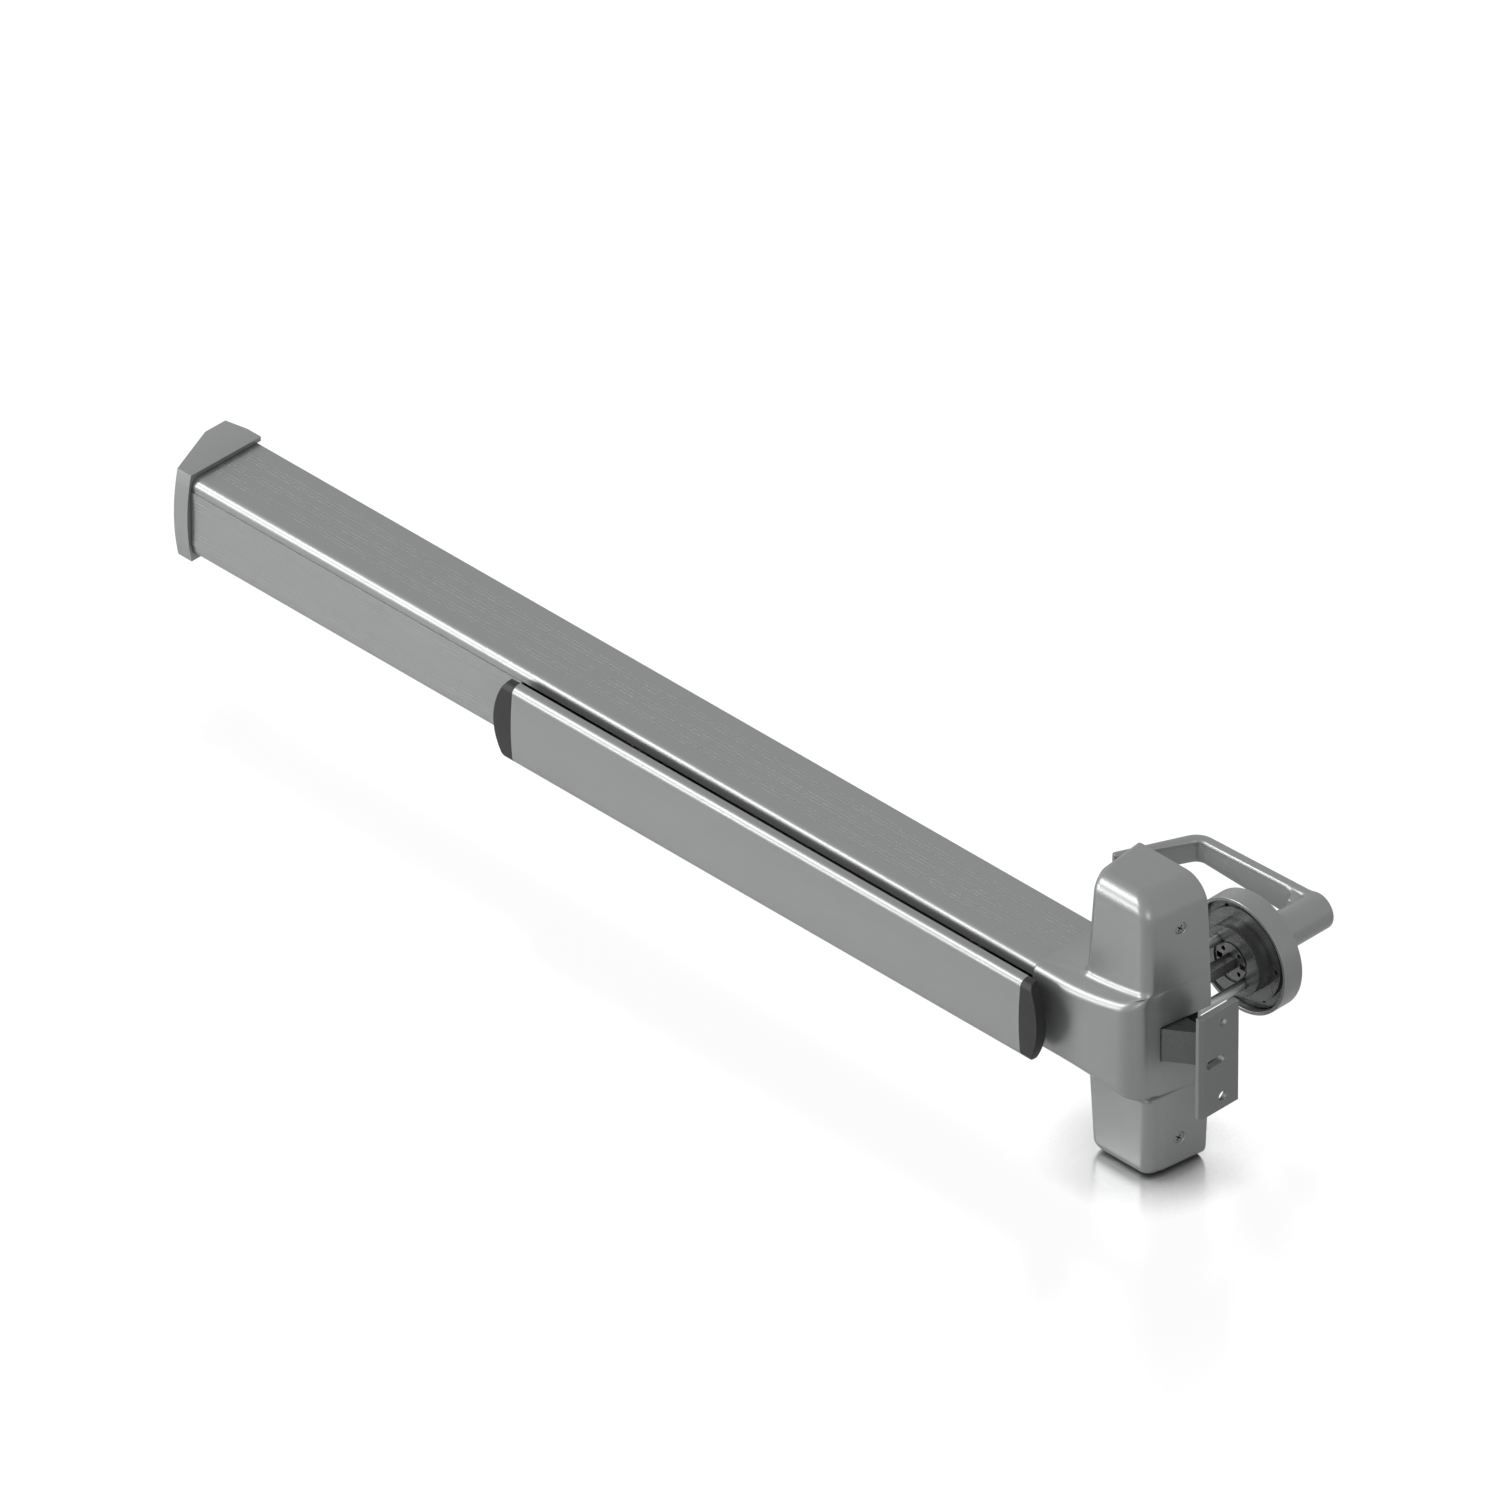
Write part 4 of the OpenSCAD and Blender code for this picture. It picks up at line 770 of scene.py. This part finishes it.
# Build the pieces
head_cover()
cover_screws()
lever_handle()
trim_rose()
latch_spring = spring("latch_spring", start=-45.2, end=13.2, centre=(-29.2, LATCH_Z),
                      radius=3.9, turns=9, wire=1.2, axis="X")
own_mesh(latch_spring)
pad_spring = spring("pad_return_spring", start=-243.2, end=-200.8, centre=(-17.23, 11.6),
                    radius=3.6, turns=10, wire=1.2, axis="X")
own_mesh(pad_spring)
spring("lever_return_spring", start=69.0, end=73.0, centre=(0, TRIM_Z),
       radius=17.0, turns=2, wire=1.2, axis="Y")
eased("case_channel", 2, (CASE_HALF, -CASE_HALF), CASE_GROOVE, CASE_GROOVE_LEFT)
plate_front = min(v.co.y for v in NODES["cover_plate"].data.vertices) / MM
eased("cover_plate", 1, (plate_front,), PLATE_GROOVE, PLATE_GROOVE_LEFT)

# Width of the rounded edges, in millimetres
EDGE_WIDTHS = {
    "push_pad": 0.35, "pad_cap_left": 1.2, "pad_cap_right": 1.2, "end_cap": 1.2,
    "end_bracket": 0.3, "latch_bolt": 0.5, "strike_plate": 0.35, "spring_cage": 0.3,
    "trim_plate": 0.25, "spindle_hub": 0.35, "spindle": 0.4, "trim_posts": 0.3,
    "link_bar": 0.3, "bell_crank_left": 0.3, "bell_crank_right": 0.3, "head_chassis": 0.3,
    "latch_guide": 0.3, "base_rail": 0.25, "pivot_bracket_left": 0.3,
    "pivot_bracket_right": 0.3, "pad_bracket_left": 0.3, "pad_bracket_right": 0.3,
    "spring_anchor": 0.3, "retractor_cam": 0.3, "pivot_pins": 0.25, "link_pins": 0.25,
    "pad_pins": 0.25, "trim_screws": 0.25, "end_cap_screws": 0.25, "spring_guide_rod": 0.3,
    "latch_drive_pin": 0.3,
}
for node, width in EDGE_WIDTHS.items():
    softened(node, width)

# Floor, light and camera
VIEW_AZ, VIEW_EL = math.radians(45), math.asin(0.5743)
TO_CAMERA = Vector((math.sin(VIEW_AZ) * math.cos(VIEW_EL), -math.cos(VIEW_AZ) * math.cos(VIEW_EL),
                    math.sin(VIEW_EL)))
VIEW_CENTRE, CAMERA_FAR = Vector((-0.3784, 0.0078, 0.0)), 26.17
LIGHT_CENTRE, LAMP_FAR = Vector((-0.35, 0, 0)), 6.0
FLOOR_HALF, FLOOR_T, FLOOR_GAP = 4000, 5, 0.3
# Reach of the painted contact shadow on the floor, in metres, and below, the colour that shadow
# darkens to.
CONTACT_REACH = 0.045
WHITE, CONTACT_SHADOW = (1, 1, 1, 1), (0.02, 0.02, 0.02, 1)


def floor():
    """White floor: the camera sees it lit up, with a painted contact shadow that darkens it near
    the parts and a faint gloss near them.
    """
    level = min(NODES[n].bound_box[0][2] for n in NODES) / MM - FLOOR_GAP
    obj = box("floor", (-FLOOR_HALF, -FLOOR_HALF, level - FLOOR_T),
              (FLOOR_HALF, FLOOR_HALF, level))
    f = Finish("floor_white")
    by_camera = f.node("LightPath", None, None, "Is Camera Ray")
    by_gloss = f.node("LightPath", None, None, "Is Glossy Ray")
    seen = calc("MINIMUM", by_camera + by_gloss * 0.4, 1.0)
    # Painted shadow: the floor's emitted white is darkened where ambient occlusion finds the parts
    # close above it.
    near = 1 - f.air(8, CONTACT_REACH)
    tone = f.mix(near * 1.9, WHITE, CONTACT_SHADOW)
    lit = f.node("BsdfDiffuse", None, {"Color": (0.92, 0.92, 0.92, 1)})
    gloss = f.node("BsdfGlossy", None, {"Color": WHITE, "Roughness": 0.2})
    white = f.node("Emission", None, {"Color": tone, "Strength": 1.0})
    spare = f.node("Emission", None, {"Color": tone, "Strength": 0.12})
    shown = f.node("MixShader", None, {"Fac": 0.86, 1: lit, 2: white})
    shown = f.node("MixShader", None, {"Fac": near * 1.2 + 0.12, 1: shown, 2: gloss})
    shown = f.node("AddShader", None, {0: shown, 1: spare})
    surface = f.node("MixShader", None, {"Fac": seen, 1: lit, 2: shown})
    f.node("OutputMaterial", None, {"Surface": surface})
    obj.data.materials.append(f.material)


def stand(name, data, centre, aim, far):
    """A lamp or camera on the line of its aim, looking back at the centre."""
    obj = bpy.data.objects.new(name, data)
    bpy.context.scene.collection.objects.link(obj)
    obj.location = centre + aim * far
    obj.rotation_mode = "QUATERNION"
    obj.rotation_quaternion = aim.to_track_quat("Z", "Y")
    return obj


def lamp(name, direction, size, power):
    data = bpy.data.lights.new(name, "AREA")
    data.shape, data.size, data.energy = "DISK", size, power
    stand(name, data, LIGHT_CENTRE, Vector(direction).normalized(), LAMP_FAR)


def sky():
    """White where it is seen or mirrored, and a soft light elsewhere."""
    world = bpy.data.worlds.new("studio")
    bpy.context.scene.world = world
    world.use_nodes = True
    world.node_tree.nodes.clear()
    f = Finish("studio", world.node_tree)
    path = f.node("LightPath", None, None, "Is Camera Ray")
    glossy = f.node("LightPath", None, None, "Is Glossy Ray")
    through = f.node("LightPath", None, None, "Is Transmission Ray")
    seen = calc("MINIMUM", path + glossy + through, 1.0)
    white = f.node("Background", None, {"Color": WHITE, "Strength": 1.0})
    soft = f.node("Background", None, {"Color": WHITE, "Strength": 0.25})
    surface = f.node("MixShader", None, {"Fac": seen, 1: soft, 2: white})
    f.node("OutputWorld", None, {"Surface": surface})


def camera():
    data = bpy.data.cameras.new("camera")
    data.lens, data.sensor_width = 1000, 36
    data.clip_start, data.clip_end = 1, 60
    bpy.context.scene.camera = stand("camera", data, VIEW_CENTRE, TO_CAMERA, CAMERA_FAR)


floor()
sky()
lamp("key", (-0.58, -0.57, 0.58), 1.9, 158)
lamp("fill", (0.75, -0.45, 0.45), 3.0, 58)
lamp("front", (-0.9, -1.0, 0.0), 3.0, 275)
camera()
bpy.context.scene.view_settings.view_transform = "Standard"
